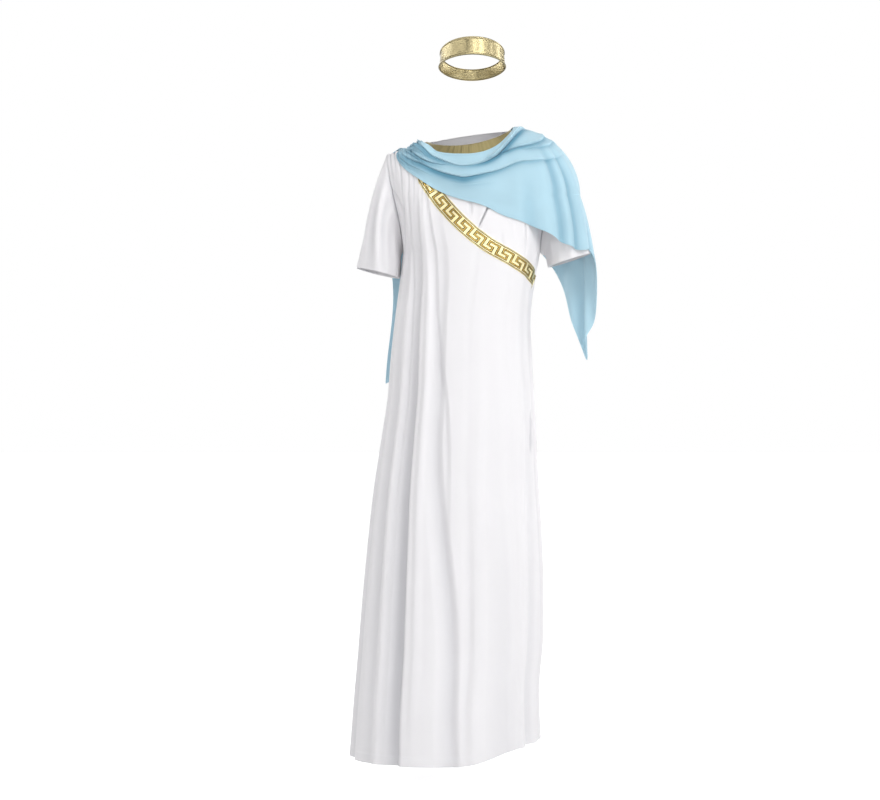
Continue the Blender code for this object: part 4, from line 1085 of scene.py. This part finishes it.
# Its deep colour is the painted shade beside the gathers.
LAME = cloth_finish("gold_lame", colour=(0.30, 0.25, 0.11), deep=(0.15, 0.12, 0.045), roughness=0.36,
                    sheen=0.1, metallic=0.55, threads=1300, cloud=0.45, wrinkle=0.0018, stretch=0.5)
panels = tree_of(front, back)
grid, gathers = neck_band_plan()
band_inner, band_normal = laid_on(panels, grid, NECK_BAND_GAP, closed=True, near=2)
down = np.linspace(0, NECK_BAND_WIDTH, NECK_BAND_ROWS)[:, None]
rolled = ease(down / NECK_BAND_ROLL[0]) * ease((NECK_BAND_WIDTH - down) / NECK_BAND_ROLL[1])
thick = BAND_CLOTH * (NECK_BAND_EDGE + (1 - NECK_BAND_EDGE) * rolled)
band_outer = band_inner + band_normal * (thick + gathers * rolled)[:, :, None]
# painted shade beside each gather, where its sides slope
beside = np.abs(np.gradient(gathers, axis=1)) / NECK_BESIDE
neck_band = shell("neck_band_cloth", band_outer, band_inner, [LAME], closed=True, dark=beside)
GOLD_THREAD = thread("gold_thread", colour=(0.42, 0.33, 0.12), metallic=0.3)
band_line = seam_line(band_outer, band_normal, from_edges(band_outer)[2], NECK_BAND_STITCH)
band_stitches = stitches("neck_band_stitches", [band_line], GOLD_THREAD, closed=True)
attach(neck_band, "root")
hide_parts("neck_band")


# The key trim: a woven ribbon of gold foil, 36 mm wide, with a raised Greek key between two narrow
# bronze lines. It is sewn to the front from the right shoulder down to the left side seam.
TRIM_WIDTH = 0.036
TRIM_CLOTH = 0.0006
TRIM_GAP = 0.0005
TRIM_STITCH = 0.0011
TRIM_ROUTE = (
    (-0.1185, -0.076, -0.078),
    (-0.110, -0.090, -0.095),
    (-0.096, -0.110, -0.118),
    (-0.070, -0.125, -0.155),
    (-0.026, -0.135, -0.203),
    (0.032, -0.135, -0.250),
    (0.092, -0.115, -0.284),
    (0.128, -0.080, -0.309),
    (0.142, -0.035, -0.334),
)
KEY_UNITS = 11            # repeats of the key along the trim
KEY_ROWS = (              # one repeat of the key, from the trim's upper side to its lower side
    "#.####",
    "#.#...",
    "#.###.",
    "#...#.",
    "#####.",
)
KEY_FROM = 0.0062         # the key keeps this far from the trim's edges
KEY_RIM = 0.0009          # width of the slope at the key's edges
KEY_LONG = 1.34           # how much longer than high a cell of the pattern is
KEY_RAISE = 0.00035
TRIM_EDGE = (0.0, 0.0005, 0.0012)  # stops at the ribbon's edge
LINE_FROM = 0.0020        # the bronze lines run between these distances from the trim's edges
LINE_TO = 0.0036
TRIM_GROUND, TRIM_KEY, TRIM_LINE = range(3)


def stops(edges, rim):
    """Each edge of the pattern with a stop just before and after it."""
    edges = np.asarray(edges)
    inside = np.concatenate([edges[1:] - rim, edges[:-1] + rim])
    return np.unique(np.round(np.concatenate([edges, inside]), 6))


def in_key(u, v):
    """Whether a place on the trim is part of the key: u in cells along it, v in cells from its lower side."""
    rows, columns = len(KEY_ROWS), len(KEY_ROWS[0])
    row = np.floor(v).astype(int)
    inside = (row >= 0) & (row < rows)
    marks = np.array([[mark == "#" for mark in line] for line in KEY_ROWS[::-1]])
    return inside & marks[np.clip(row, 0, rows - 1), np.floor(u).astype(int) % columns]


def key_trim_plan():
    """The trim's flat layout: stops along and across it, how far each point is raised, and the faces'
    finishes."""
    cells = len(KEY_ROWS[0]) * KEY_UNITS
    cell_high = (TRIM_WIDTH - 2 * KEY_FROM) / len(KEY_ROWS)
    along = stops(np.linspace(0, 1, cells + 1) * cells, KEY_RIM / (cell_high * KEY_LONG))
    key_edges = KEY_FROM + np.arange(len(KEY_ROWS) + 1) * cell_high
    low = (*TRIM_EDGE, LINE_FROM, (LINE_FROM + LINE_TO) / 2, LINE_TO)
    across_it = np.concatenate([low, stops(key_edges, KEY_RIM), TRIM_WIDTH - np.array(low[::-1])])
    u, v = np.meshgrid(along, (across_it - KEY_FROM) / cell_high)
    tiny = 1e-4
    near = [in_key(u + du, v + dv) for du in (-tiny, tiny) for dv in (-tiny, tiny)]
    height = np.all(near, axis=0).astype(float)
    corners = height[:-1, :-1] + height[1:, :-1] + height[:-1, 1:] + height[1:, 1:]
    finish = np.where(corners > 3.5, TRIM_KEY, np.where(corners > 0.5, TRIM_LINE, TRIM_GROUND))
    middle = (across_it[:-1] + across_it[1:]) / 2
    from_edge = np.minimum(middle, TRIM_WIDTH - middle)
    finish[(from_edge > LINE_FROM) & (from_edge < LINE_TO)] = TRIM_LINE
    return along / cells, across_it / TRIM_WIDTH - 0.5, height, finish


def trim_points(along, across_it):
    """The trim laid on the front along its route."""
    route = np.array(TRIM_ROUTE)
    run = np.concatenate([[0], np.cumsum(np.linalg.norm(np.diff(route, axis=0), axis=1))])
    line = np.stack([smooth(along * run[-1], run, route[:, k]) for k in range(3)], axis=1)
    on_front = tree_of(front)
    line, normal = laid_on(on_front, line[None], 0.0, evening=12)
    sideways = np.cross(normal[0], np.gradient(line[0], along, axis=0))
    sideways /= np.linalg.norm(sideways, axis=1, keepdims=True)
    grid = line + sideways[None] * (across_it * TRIM_WIDTH)[:, None, None]
    return laid_on(on_front, grid, TRIM_GAP, evening=3, near=1)


def foil(name, colour, roughness, metallic, cloud):
    """Metal foil yarn, a little uneven and finely ribbed by its weave."""
    return cloth_finish(name, colour, roughness, threads=1100, metallic=metallic, cloud=cloud, wrinkle=0.0009,
                        stretch=1.0)


trim_finishes = [
    foil("pale_foil", colour=(1.0, 0.86, 0.47), roughness=0.27, metallic=0.6, cloud=0.6),
    foil("gold_foil_yarn", colour=(0.60, 0.42, 0.12), roughness=0.20, metallic=0.92, cloud=1.4),
    foil("bronze_yarn", colour=(0.05, 0.03, 0.008), roughness=0.45, metallic=0.3, cloud=0.3),
]
along, across_it, key_height, key_finish = key_trim_plan()
trim_inner, trim_normal = trim_points(along, across_it)
trim_outer = trim_inner + trim_normal * (TRIM_CLOTH + KEY_RAISE * key_height)[:, :, None]
key_trim = shell("key_trim_ribbon", trim_outer, trim_inner, trim_finishes, spots=key_finish)
trim_sides = from_edges(trim_outer)
trim_lines = [seam_line(trim_outer, trim_normal, away, TRIM_STITCH) for away in trim_sides[1:]]
trim_stitches = stitches("key_trim_stitches", trim_lines, GOLD_THREAD)
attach(key_trim, "root")
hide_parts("key_trim")


# The drape: one long piece of light blue crepe, gathered and sewn at the right shoulder, carried across
# the chest and over the left shoulder, with a pointed fall behind the left arm and a free edge at the back.
DRAPE_CLOTH = 0.0008
DRAPE_GAP = 0.0022
SEWN_GAP = 0.0006
DRAPE_TURN = 0.007        # width of its narrow hem
DRAPE_TURN_STEP = 0.002   # over which the hem's inner edge shows
DRAPE_TURN_RAISE = 0.0004
DRAPE_STITCH = 0.001      # the stitches keep this far from the hem's inner edge
DRAPE_EDGE = 0.6          # share of the cloth's thickness between its hems
FORM_COLUMNS = ("turn", "neck_r", "neck_z", "edge_r", "edge_z", "flare")
FORM = (
    (-180, 0.105, -0.002, 0.212, -0.130, 0.10),
    (-150, 0.098, -0.018, 0.176, -0.150, 0.06),
    (-120, 0.088, -0.036, 0.140, -0.170, 0.02),
    (-90, 0.086, -0.040, 0.130, -0.170, 0.02),
    (-60, 0.084, -0.026, 0.140, -0.170, 0.02),
    (-40, 0.084, -0.006, 0.164, -0.150, 0.20),
    (0, 0.088, 0.026, 0.247, -0.130, 0.385),
    (45, 0.080, 0.014, 0.174, -0.120, 0.25),
    (90, 0.070, 0.002, 0.127, -0.120, 0.05),
    (130, 0.084, 0.000, 0.160, -0.130, 0.04),
    (150, 0.100, 0.000, 0.212, -0.130, 0.10),
    (180, 0.105, -0.002, 0.212, -0.130, 0.10),
)
HANG_UNIT = 0.24
FLARE_REACH = 0.12
DRAPE_COLUMNS = ("share", "neck_turn", "neck_at", "hem_turn", "hem_z")
DRAPE = (
    (0.00, -178, 0.31, -176, -0.022),
    (0.07, -160, 0.20, -159, -0.064),
    (0.15, -134, 0.25, -134, -0.112),
    (0.24, -100, 0.22, -100, -0.149),
    (0.32, -70, 0.20, -72, -0.170),
    (0.40, -40, 0.14, -42, -0.202),
    (0.47, -12, 0.05, -16, -0.260),
    (0.515, 4, 0.03, -4, -0.273),
    (0.555, 16, 0.04, 7, -0.418),
    (0.580, 23, 0.046, 12, -0.478),
    (0.596, 28, 0.05, 14.5, -0.512),
    (0.615, 34, 0.056, 19, -0.438),
    (0.645, 43, 0.070, 28, -0.322),
    (0.670, 49, 0.082, 34, -0.264),
    (0.700, 57, 0.095, 43, -0.240),
    (0.740, 70, 0.110, 58, -0.270),
    (0.78, 82, 0.13, 72, -0.330),
    (0.85, 108, 0.18, 96, -0.440),
    (0.92, 138, 0.26, 123, -0.520),
    (1.00, 172, 0.36, 150, -0.568),
)
DRAPE_SWING = 4
END_WAVE = 2.4            # degrees by which the free end at the back sways from side to side
END_WAVES = 7.5
END_FROM = 0.86
END_COLUMNS = 20          # columns of points at the free end, in which its hem lies
DRAPE_ALONG = 300
DRAPE_ACROSS = 150
DRAPE_EVEN_FROM = 0.025
DRAPE_EDGE_ROWS = (0, 0.003, 0.009, 0.016)
PLEAT_FULL = 1.25         # how much fuller the pleats are than their table says
PLEAT_LAP = 1.0           # how far a lip laps down, in heights of its pleat
PLEAT_SINK = 0.8          # how far the cloth between the pleats sinks to the tunic
PLEAT_EVENING = 16
PLEAT_DEEP = 0.0085       # a pleat of this height has full painted shade under its lip, over this distance
PLEAT_SHADE = 0.0075
# a hanging fold of this depth has the drape's full painted shade
HANGING_DEEP = 0.024
DRAPE_LOFT = 0.0075
DRAPE_RISE = 0.6
DRAPE_SEARCH = 0.12
DRAPE_NEAR = 5            # places within which the drape keeps clear of what is under it
DRAPE_EVENING = (14, 3)   # rounds of evening before and after the hanging folds
SEWN_SHARE = 0.045
CLOSE_ON_CHEST = (0.05, 0.05, 0.36, 0.08)  # shares along the drape where its lower edge lies close
CLOSE_FROM_ROW = (0.70, 0.28)
GATHER_FLAT = 0.14        # share of their height that the pleats have at the gather's end
GATHER_SINK = 0.018       # how far it may sink there to lie on the tunic
GATHER_END = 0.15         # share over which the cloth rises from its gather at the right shoulder
FORM_INSIDE = (0.0, 0.0, -0.30)

# Pleats along the drape. Each has the width of its soft upper side and of its lip, in metres, and rows of
# share of the drape's length, place of the lip across it, and height. The lip laps over the cloth below.
PLEAT_COLUMNS = ("share", "across", "depth")
PLEATS = {
    "under the neck roll": (0.014, 0.0020, (
        (0.000, 0.16, 0.000), (0.060, 0.17, 0.0046), (0.104, 0.20, 0.0062), (0.138, 0.21, 0.0072),
        (0.167, 0.245, 0.0070), (0.196, 0.30, 0.0052), (0.225, 0.345, 0.0045), (0.267, 0.315, 0.0060),
        (0.312, 0.245, 0.0085), (0.350, 0.170, 0.0110), (0.396, 0.085, 0.0120), (0.425, 0.058, 0.0110),
        (0.462, 0.050, 0.0090), (0.520, 0.065, 0.0050), (0.580, 0.080, 0.0000))),
    "second from the gather": (0.012, 0.0018, (
        (0.000, 0.36, 0.000), (0.062, 0.42, 0.0050), (0.100, 0.47, 0.0062), (0.129, 0.47, 0.0064),
        (0.158, 0.42, 0.0050), (0.190, 0.385, 0.0022), (0.215, 0.37, 0.0000))),
    "long pleat of the chest": (0.020, 0.0020, (
        (0.000, 0.58, 0.000), (0.062, 0.73, 0.0052), (0.108, 0.655, 0.0068), (0.138, 0.58, 0.0080),
        (0.175, 0.555, 0.0090), (0.204, 0.565, 0.0088), (0.242, 0.575, 0.0090), (0.275, 0.53, 0.0080),
        (0.329, 0.455, 0.0060), (0.379, 0.405, 0.0050), (0.429, 0.41, 0.0042), (0.470, 0.38, 0.0026),
        (0.510, 0.36, 0.0000))),
    "over the left shoulder": (0.012, 0.0018, (
        (0.300, 0.20, 0.000), (0.333, 0.190, 0.0048), (0.367, 0.185, 0.0064), (0.396, 0.205, 0.0070),
        (0.429, 0.235, 0.0070), (0.470, 0.215, 0.0058), (0.533, 0.170, 0.0034), (0.600, 0.15, 0.0000))),
    "thin one below it": (0.010, 0.0016, (
        (0.405, 0.285, 0.000), (0.429, 0.285, 0.0036), (0.454, 0.280, 0.0042), (0.521, 0.250, 0.0030),
        (0.570, 0.240, 0.0000))),
    "low one of the gather": (0.008, 0.0016, (
        (0.000, 0.74, 0.000), (0.045, 0.85, 0.0050), (0.090, 0.84, 0.0048), (0.130, 0.79, 0.0030),
        (0.170, 0.76, 0.0000))),
    "edge one of the gather": (0.006, 0.0014, (
        (0.000, 0.88, 0.000), (0.045, 0.93, 0.0040), (0.085, 0.93, 0.0032), (0.120, 0.91, 0.0000))),
    "upper one of the gather": (0.006, 0.0014, (
        (0.000, 0.06, 0.000), (0.045, 0.07, 0.0036), (0.080, 0.09, 0.0032), (0.115, 0.10, 0.0000))),
    "between the first two": (0.007, 0.0014, (
        (0.000, 0.27, 0.000), (0.055, 0.29, 0.0042), (0.095, 0.33, 0.0042), (0.135, 0.34, 0.0024),
        (0.165, 0.33, 0.0000))),
    "below the second": (0.007, 0.0014, (
        (0.000, 0.50, 0.000), (0.050, 0.57, 0.0040), (0.090, 0.57, 0.0036), (0.125, 0.54, 0.0016),
        (0.150, 0.53, 0.0000))),
    "under the long pleat": (0.020, 0.0030, (
        (0.180, 0.72, 0.000), (0.215, 0.73, 0.0024), (0.255, 0.71, 0.0030), (0.300, 0.66, 0.0020),
        (0.345, 0.60, 0.0000))),
    "behind, from the shoulder down": (0.022, 0.0024, (
        (0.600, 0.13, 0.0010), (0.680, 0.13, 0.0046), (0.760, 0.14, 0.0060), (0.850, 0.13, 0.0062),
        (0.930, 0.11, 0.0058), (1.000, 0.08, 0.0050))),
    "behind, the second": (0.024, 0.0026, (
        (0.640, 0.34, 0.0000), (0.720, 0.33, 0.0040), (0.800, 0.30, 0.0066), (0.880, 0.25, 0.0070),
        (0.950, 0.20, 0.0064), (1.000, 0.17, 0.0056))),
    "behind, the third": (0.024, 0.0026, (
        (0.700, 0.58, 0.0000), (0.780, 0.55, 0.0036), (0.860, 0.47, 0.0060), (0.930, 0.40, 0.0060),
        (1.000, 0.34, 0.0052))),
    "behind, short one": (0.014, 0.0020, (
        (0.820, 0.40, 0.0000), (0.880, 0.37, 0.0030), (0.950, 0.30, 0.0034), (1.000, 0.26, 0.0030))),
}

# Broad folds that hang down the drape: place along it, half width, depth (minus is a ridge), where down it
# they start, and over how far they reach their depth
HANGING_COLUMNS = ("share", "width", "depth", "from_row", "over")
HANGING_FOLDS = (
    (0.405, 0.014, 0.006, 0.40, 0.60),
    (0.432, 0.010, -0.006, 0.30, 0.30),
    (0.449, 0.008, 0.012, 0.20, 0.30),
    (0.4585, 0.006, -0.008, 0.22, 0.30),
    (0.4680, 0.006, 0.013, 0.24, 0.30),
    (0.482, 0.009, -0.008, 0.28, 0.35),
    (0.504, 0.010, 0.010, 0.40, 0.50),
    (0.574, 0.012, 0.014, 0.40, 0.60),
    (0.620, 0.014, 0.014, 0.30, 0.70),
    (0.672, 0.018, 0.014, 0.35, 0.65),
    (0.745, 0.018, 0.022, 0.25, 0.60),
    (0.783, 0.012, -0.005, 0.30, 0.60),
    (0.820, 0.017, 0.018, 0.35, 0.55),
    (0.855, 0.010, -0.004, 0.25, 0.60),
    (0.888, 0.016, 0.021, 0.30, 0.50),
    (0.948, 0.014, 0.014, 0.25, 0.60),
)
HANGING_TAIL = 1.4
HANGING_MORE = 0.6        # how much deeper the hanging folds are where the drape has room


def form(turn, at):
    """A point of the form that the drape lies on, from the direction round the neck and the way down."""
    keys = column(FORM, FORM_COLUMNS, "turn")
    keys = np.concatenate([keys - 360, keys[1:], keys[1:] + 360])
    read = {}
    for name in FORM_COLUMNS[1:]:
        values = column(FORM, FORM_COLUMNS, name)
        read[name] = smooth(turn, keys, np.concatenate([values, values[1:], values[1:]]))
    angle = np.clip(at, 0, 1) * math.pi / 2
    hanging = np.maximum(at - 1, 0) * HANG_UNIT
    spread = FLARE_REACH * (1 - np.exp(-hanging / FLARE_REACH))
    radius = read["neck_r"] + (read["edge_r"] - read["neck_r"]) * np.sin(angle) + read["flare"] * spread
    height = read["edge_z"] + (read["neck_z"] - read["edge_z"]) * np.cos(angle) - hanging
    round_neck = np.radians(turn)
    return np.stack([radius * np.cos(round_neck), radius * np.sin(round_neck), height], axis=-1)


def way_down_to(turn, height):
    """How far down the form a height is, in a direction."""
    places = np.linspace(0, 4, 801)
    return float(np.interp(-height, -form(np.full(places.shape, float(turn)), places)[:, 2], places))


def drape_plan(shares, rows):
    """The directions and ways down of the drape's points."""
    read = {name: column(DRAPE, DRAPE_COLUMNS, name) for name in DRAPE_COLUMNS}
    hem_at = [way_down_to(t, z) for t, z in zip(read["hem_turn"], read["hem_z"])]
    neck_turn, neck_at, hem_turn, low = (
        smooth(shares, read["share"], values)
        for values in (read["neck_turn"], read["neck_at"], read["hem_turn"], hem_at)
    )
    v = rows[:, None]
    turn = hem_turn + (neck_turn - hem_turn) * (1 - v) ** DRAPE_SWING
    turn = turn + END_WAVE * np.sin(END_WAVES * v) * ease((shares - END_FROM) / (1 - END_FROM))
    return turn, neck_at + (low - neck_at) * v


def pleats(shares, rows, widths):
    """How far the pleats along the drape stand up, how far their lips lap down over the cloth below, and
    how much painted shade lies under them."""
    rise, lap, dark = (np.zeros((len(rows), len(shares))) for _ in range(3))
    for soft, lip, places in PLEATS.values():
        at, line, size = (column(places, PLEAT_COLUMNS, name) for name in PLEAT_COLUMNS)
        size = np.clip(smooth(shares, at, size), 0, None) * ((shares >= at[0]) & (shares <= at[-1]))
        above = (smooth(shares, at, line)[None, :] - rows[:, None]) * widths[None, :]
        hump = ease((above + lip) / (2 * lip)) * np.exp(-(np.clip(above - lip, 0, None) / soft) ** 1.5)
        rise += PLEAT_FULL * size[None, :] * hump
        lap += PLEAT_LAP * size[None, :] * hump * np.exp(-np.clip(above, 0, None) / (2 * lip))
        # painted shade under each lip, fading down the cloth below it
        past_lip = np.clip(-above - size, 0, None) / PLEAT_SHADE
        below = ease((lip - above) / (2 * lip)) * np.exp(-past_lip ** 1.3)
        dark = np.maximum(dark, np.clip(size / PLEAT_DEEP, 0, 1)[None, :] * below)
    return rise, lap, dark


def hanging_depths(shares, rows):
    """Depth of the folds that hang down the drape."""
    v = rows[:, None]
    depth = np.zeros((len(rows), len(shares)))
    for row in HANGING_FOLDS:
        fold = dict(zip(HANGING_COLUMNS, row))
        down = ease((v - fold["from_row"]) / fold["over"])
        away = (shares[None, :] - fold["share"]) / (fold["width"] * HANGING_TAIL)
        depth += fold["depth"] * down * bump(away)
    return depth


def drape_points(tree):
    """Outer points of the drape, clear of what it lies on, their normals, and how much painted shade each
    has.
    """
    shares = np.linspace(0, 1, DRAPE_ALONG + 1)
    edge_rows = np.array(DRAPE_EDGE_ROWS)
    even = np.linspace(DRAPE_EVEN_FROM, 1 - DRAPE_EVEN_FROM, DRAPE_ACROSS)
    rows = np.concatenate([edge_rows, even, 1 - edge_rows[::-1]])
    base = form(*drape_plan(shares, rows))
    widths = np.linalg.norm(np.diff(base, axis=0), axis=2).sum(axis=0)
    normal = normals_of(base, base - np.array(FORM_INSIDE))
    under = heights_under(tree, base, normal, DRAPE_SEARCH)
    hanging = hanging_depths(shares, rows)
    sewn = bump(shares / SEWN_SHARE)[None, :]
    at_gather = ease(shares / GATHER_END)[None, :]
    chest_from, chest_over, chest_to, chest_fade = CLOSE_ON_CHEST
    row_from, row_over = CLOSE_FROM_ROW
    on_chest = ease((shares - chest_from) / chest_over) * (1 - ease((shares - chest_to) / chest_fade))
    free = 1 - ease((rows - row_from) / row_over)[:, None] * on_chest[None, :]
    low = sewn + (1 - sewn) * (1 - at_gather * free)
    broad = greatest_near(under, DRAPE_NEAR) * (1 - low) + under * low
    gap = SEWN_GAP + (DRAPE_GAP - SEWN_GAP) * np.minimum(1 - sewn, at_gather) + DRAPE_CLOTH
    lift = (DRAPE_LOFT * at_gather * free - hanging) * (1 - sewn) - GATHER_SINK * (1 - at_gather)
    height = np.maximum(lift, broad + gap + DRAPE_RISE * lift.clip(0))
    for _ in range(DRAPE_EVENING[0]):
        height = np.maximum(softened(height), under + gap)
    height = np.maximum(height - HANGING_MORE * hanging * (1 - sewn), under + gap)
    for _ in range(DRAPE_EVENING[1]):
        height = np.maximum(softened(height), under + gap)
    rise, lap, dark = pleats(shares, rows, widths)
    flatter = GATHER_FLAT + (1 - GATHER_FLAT) * at_gather
    rise, lap = rise * flatter, lap * flatter
    sunk = rise
    for _ in range(PLEAT_EVENING):
        sunk = softened(sunk)
    height = np.maximum(height - PLEAT_SINK * sunk, under + gap)
    outer = base + normal * (height + rise * (1 - sewn))[:, :, None]
    down = np.gradient(outer, axis=0)
    down /= np.linalg.norm(down, axis=2, keepdims=True)
    outer = outer + down * (lap * (1 - sewn))[:, :, None]
    # painted shade under the lips and in the hanging folds
    return outer, normals_of(outer, normal), dark + hanging.clip(0) / HANGING_DEEP


# Its deep colour is the painted shade under the pleats and in the hanging folds.
BLUE = cloth_finish("blue_crepe", colour=(0.435, 0.655, 0.76), deep=(0.11, 0.30, 0.42), roughness=0.66,
                    sheen=0.22, threads=1300, cloud=0.22, wrinkle=0.0009, stretch=0.8)
# Painted light: the wrong side is coloured lighter than the right side, so that where it shows, as in the
# fall behind the left arm, it looks lit.
BLUE_WRONG_SIDE_PAINTED_LIGHT = cloth_finish("blue_crepe_wrong_side_painted_light", colour=(0.54, 0.80, 0.92), roughness=0.72,
                               sheen=0.2, threads=1300, cloud=0.15, wrinkle=0.0009, stretch=0.8)
closed_sleeves = [ring_closed(grid) for grid, _ in sleeve_grids.values()]
lies_on = tree_of(front, back, ring_closed(band_outer), trim_outer, *closed_sleeves)
drape_outer, drape_normal, drape_painted_shade = drape_points(lies_on)
sides, top, bottom = from_edges(drape_outer)
edge = np.minimum(np.minimum(sides, top), bottom)
turned = ease((DRAPE_TURN + DRAPE_TURN_STEP / 2 - edge) / DRAPE_TURN_STEP) * ease(edge / EDGE_ROUND)
drape_thick = DRAPE_CLOTH * (DRAPE_EDGE + (1 - DRAPE_EDGE) * turned)
drape_inner = drape_outer - drape_normal * drape_thick[:, :, None]
drape_shown = drape_outer + drape_normal * (DRAPE_TURN_RAISE * turned)[:, :, None]
drape = shell("drape_cloth", drape_shown, drape_inner, [BLUE, BLUE_WRONG_SIDE_PAINTED_LIGHT], dark=drape_painted_shade,
              wrong_side=1)
BLUE_THREAD = thread("blue_thread", colour=(0.36, 0.58, 0.70))
stitch_at = DRAPE_TURN - DRAPE_STITCH
free_end, free_normal = (x[:, -END_COLUMNS:].swapaxes(0, 1) for x in (drape_shown, drape_normal))
drape_lines = [
    seam_line(drape_shown, drape_normal, top, stitch_at),
    seam_line(drape_shown, drape_normal, bottom, stitch_at),
    seam_line(free_end, free_normal, from_edges(free_end)[2], stitch_at),
]
drape_stitches = stitches("drape_stitches", drape_lines, BLUE_THREAD)
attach(drape, "root")
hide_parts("drape")


# The headband: a strip of glossy pale gold lame folded to a soft flat band, its edges rolled in. It is
# taller in front and tipped up there, as it is worn, and closed by a seam behind.
HEADBAND_CLOTH = 0.0010
BAND_MIDDLE = (0.0, -0.026, 0.186)
BAND_HALF = (0.0795, 0.098)
BAND_HEIGHT_FRONT = 0.043
BAND_HEIGHT_BACK = 0.027
BAND_TIP = 0.20
BAND_TAPER = 0.0035
BAND_COLUMNS = 300
BAND_ROWS = 40
BAND_ROLL = 0.0021        # how far the edges stand out where they are rolled
BAND_ROLL_WIDTH = 0.06    # in shares of the band's height: the roll, its rounded edge, and where dents begin
BAND_ROLL_EDGE = 0.03
BAND_BODY = (0.08, 0.2)
BAND_SEAM_ROWS = 4        # the stitches of the back seam end this many rows from each edge
BAND_SEAM_BESIDE = (-2, 2)  # and lie this many columns beside it
BAND_DENTS = (            # soft dents down the band: direction (-90 the front), half width in degrees, depth
    (-150, 10, 0.0010), (-128, 7, -0.0007), (-112, 5, 0.0008), (-99, 5, -0.0006), (-84, 4, 0.0007),
    (-70, 7, -0.0006), (-52, 6, 0.0012), (-38, 5, -0.0008), (-22, 7, 0.0012), (10, 10, -0.0008),
    (45, 9, 0.0010), (80, 8, -0.0008), (120, 10, 0.0010), (160, 9, -0.0008),
)


def headband_points():
    """Outer points of the headband and their normals."""
    turn = np.linspace(0, 2 * math.pi, BAND_COLUMNS, endpoint=False)
    ahead = -np.sin(turn)
    height = BAND_HEIGHT_BACK + (BAND_HEIGHT_FRONT - BAND_HEIGHT_BACK) * ease((ahead + 1) / 2)
    degrees = np.degrees(turn)
    dents = np.zeros(len(turn))
    for place, width, depth in BAND_DENTS:
        away = (degrees - place + 180) % 360 - 180
        dents += depth * np.exp(-(away / width) ** 2)
    x0, y0, z0 = BAND_MIDDLE
    grid = []
    for s in np.linspace(0.5, -0.5, BAND_ROWS):
        from_edge = 0.5 - abs(s)
        hump = bump((from_edge - BAND_ROLL_WIDTH) / BAND_ROLL_WIDTH)
        roll = BAND_ROLL * (hump - (1 - ease(from_edge / BAND_ROLL_EDGE)) / 2)
        body = ease((from_edge - BAND_BODY[0]) / BAND_BODY[1])
        out = roll - BAND_TAPER * (s + 0.5) - dents * body - BAND_ROLL
        grid.append(np.stack([
            x0 + (BAND_HALF[0] + out) * np.cos(turn),
            y0 + (BAND_HALF[1] + out) * np.sin(turn),
            z0 + ahead * BAND_HALF[1] * BAND_TIP + height * s,
        ], axis=1))
    grid = np.array(grid)
    return grid, ring_normals(grid)


GLOSSY = cloth_finish("glossy_lame", colour=(0.50, 0.425, 0.235), roughness=0.13, metallic=0.97, threads=1200,
                      cloud=0.45, wrinkle=0.0005, stretch=0.6)
head_outer, head_normal = headband_points()
head_inner = head_outer - head_normal * HEADBAND_CLOTH
headband = shell("headband_cloth", head_outer, head_inner, [GLOSSY], closed=True)
back_seam = np.argmin(np.abs(np.linspace(0, 2 * math.pi, BAND_COLUMNS, endpoint=False) - math.pi / 2))
seam_lines = [
    (head_outer + head_normal * STITCH_LIFT)[BAND_SEAM_ROWS:-BAND_SEAM_ROWS, back_seam + k]
    for k in BAND_SEAM_BESIDE
]
headband_stitches = stitches("headband_stitches", seam_lines, GOLD_THREAD)
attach(headband, "root")
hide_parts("headband")
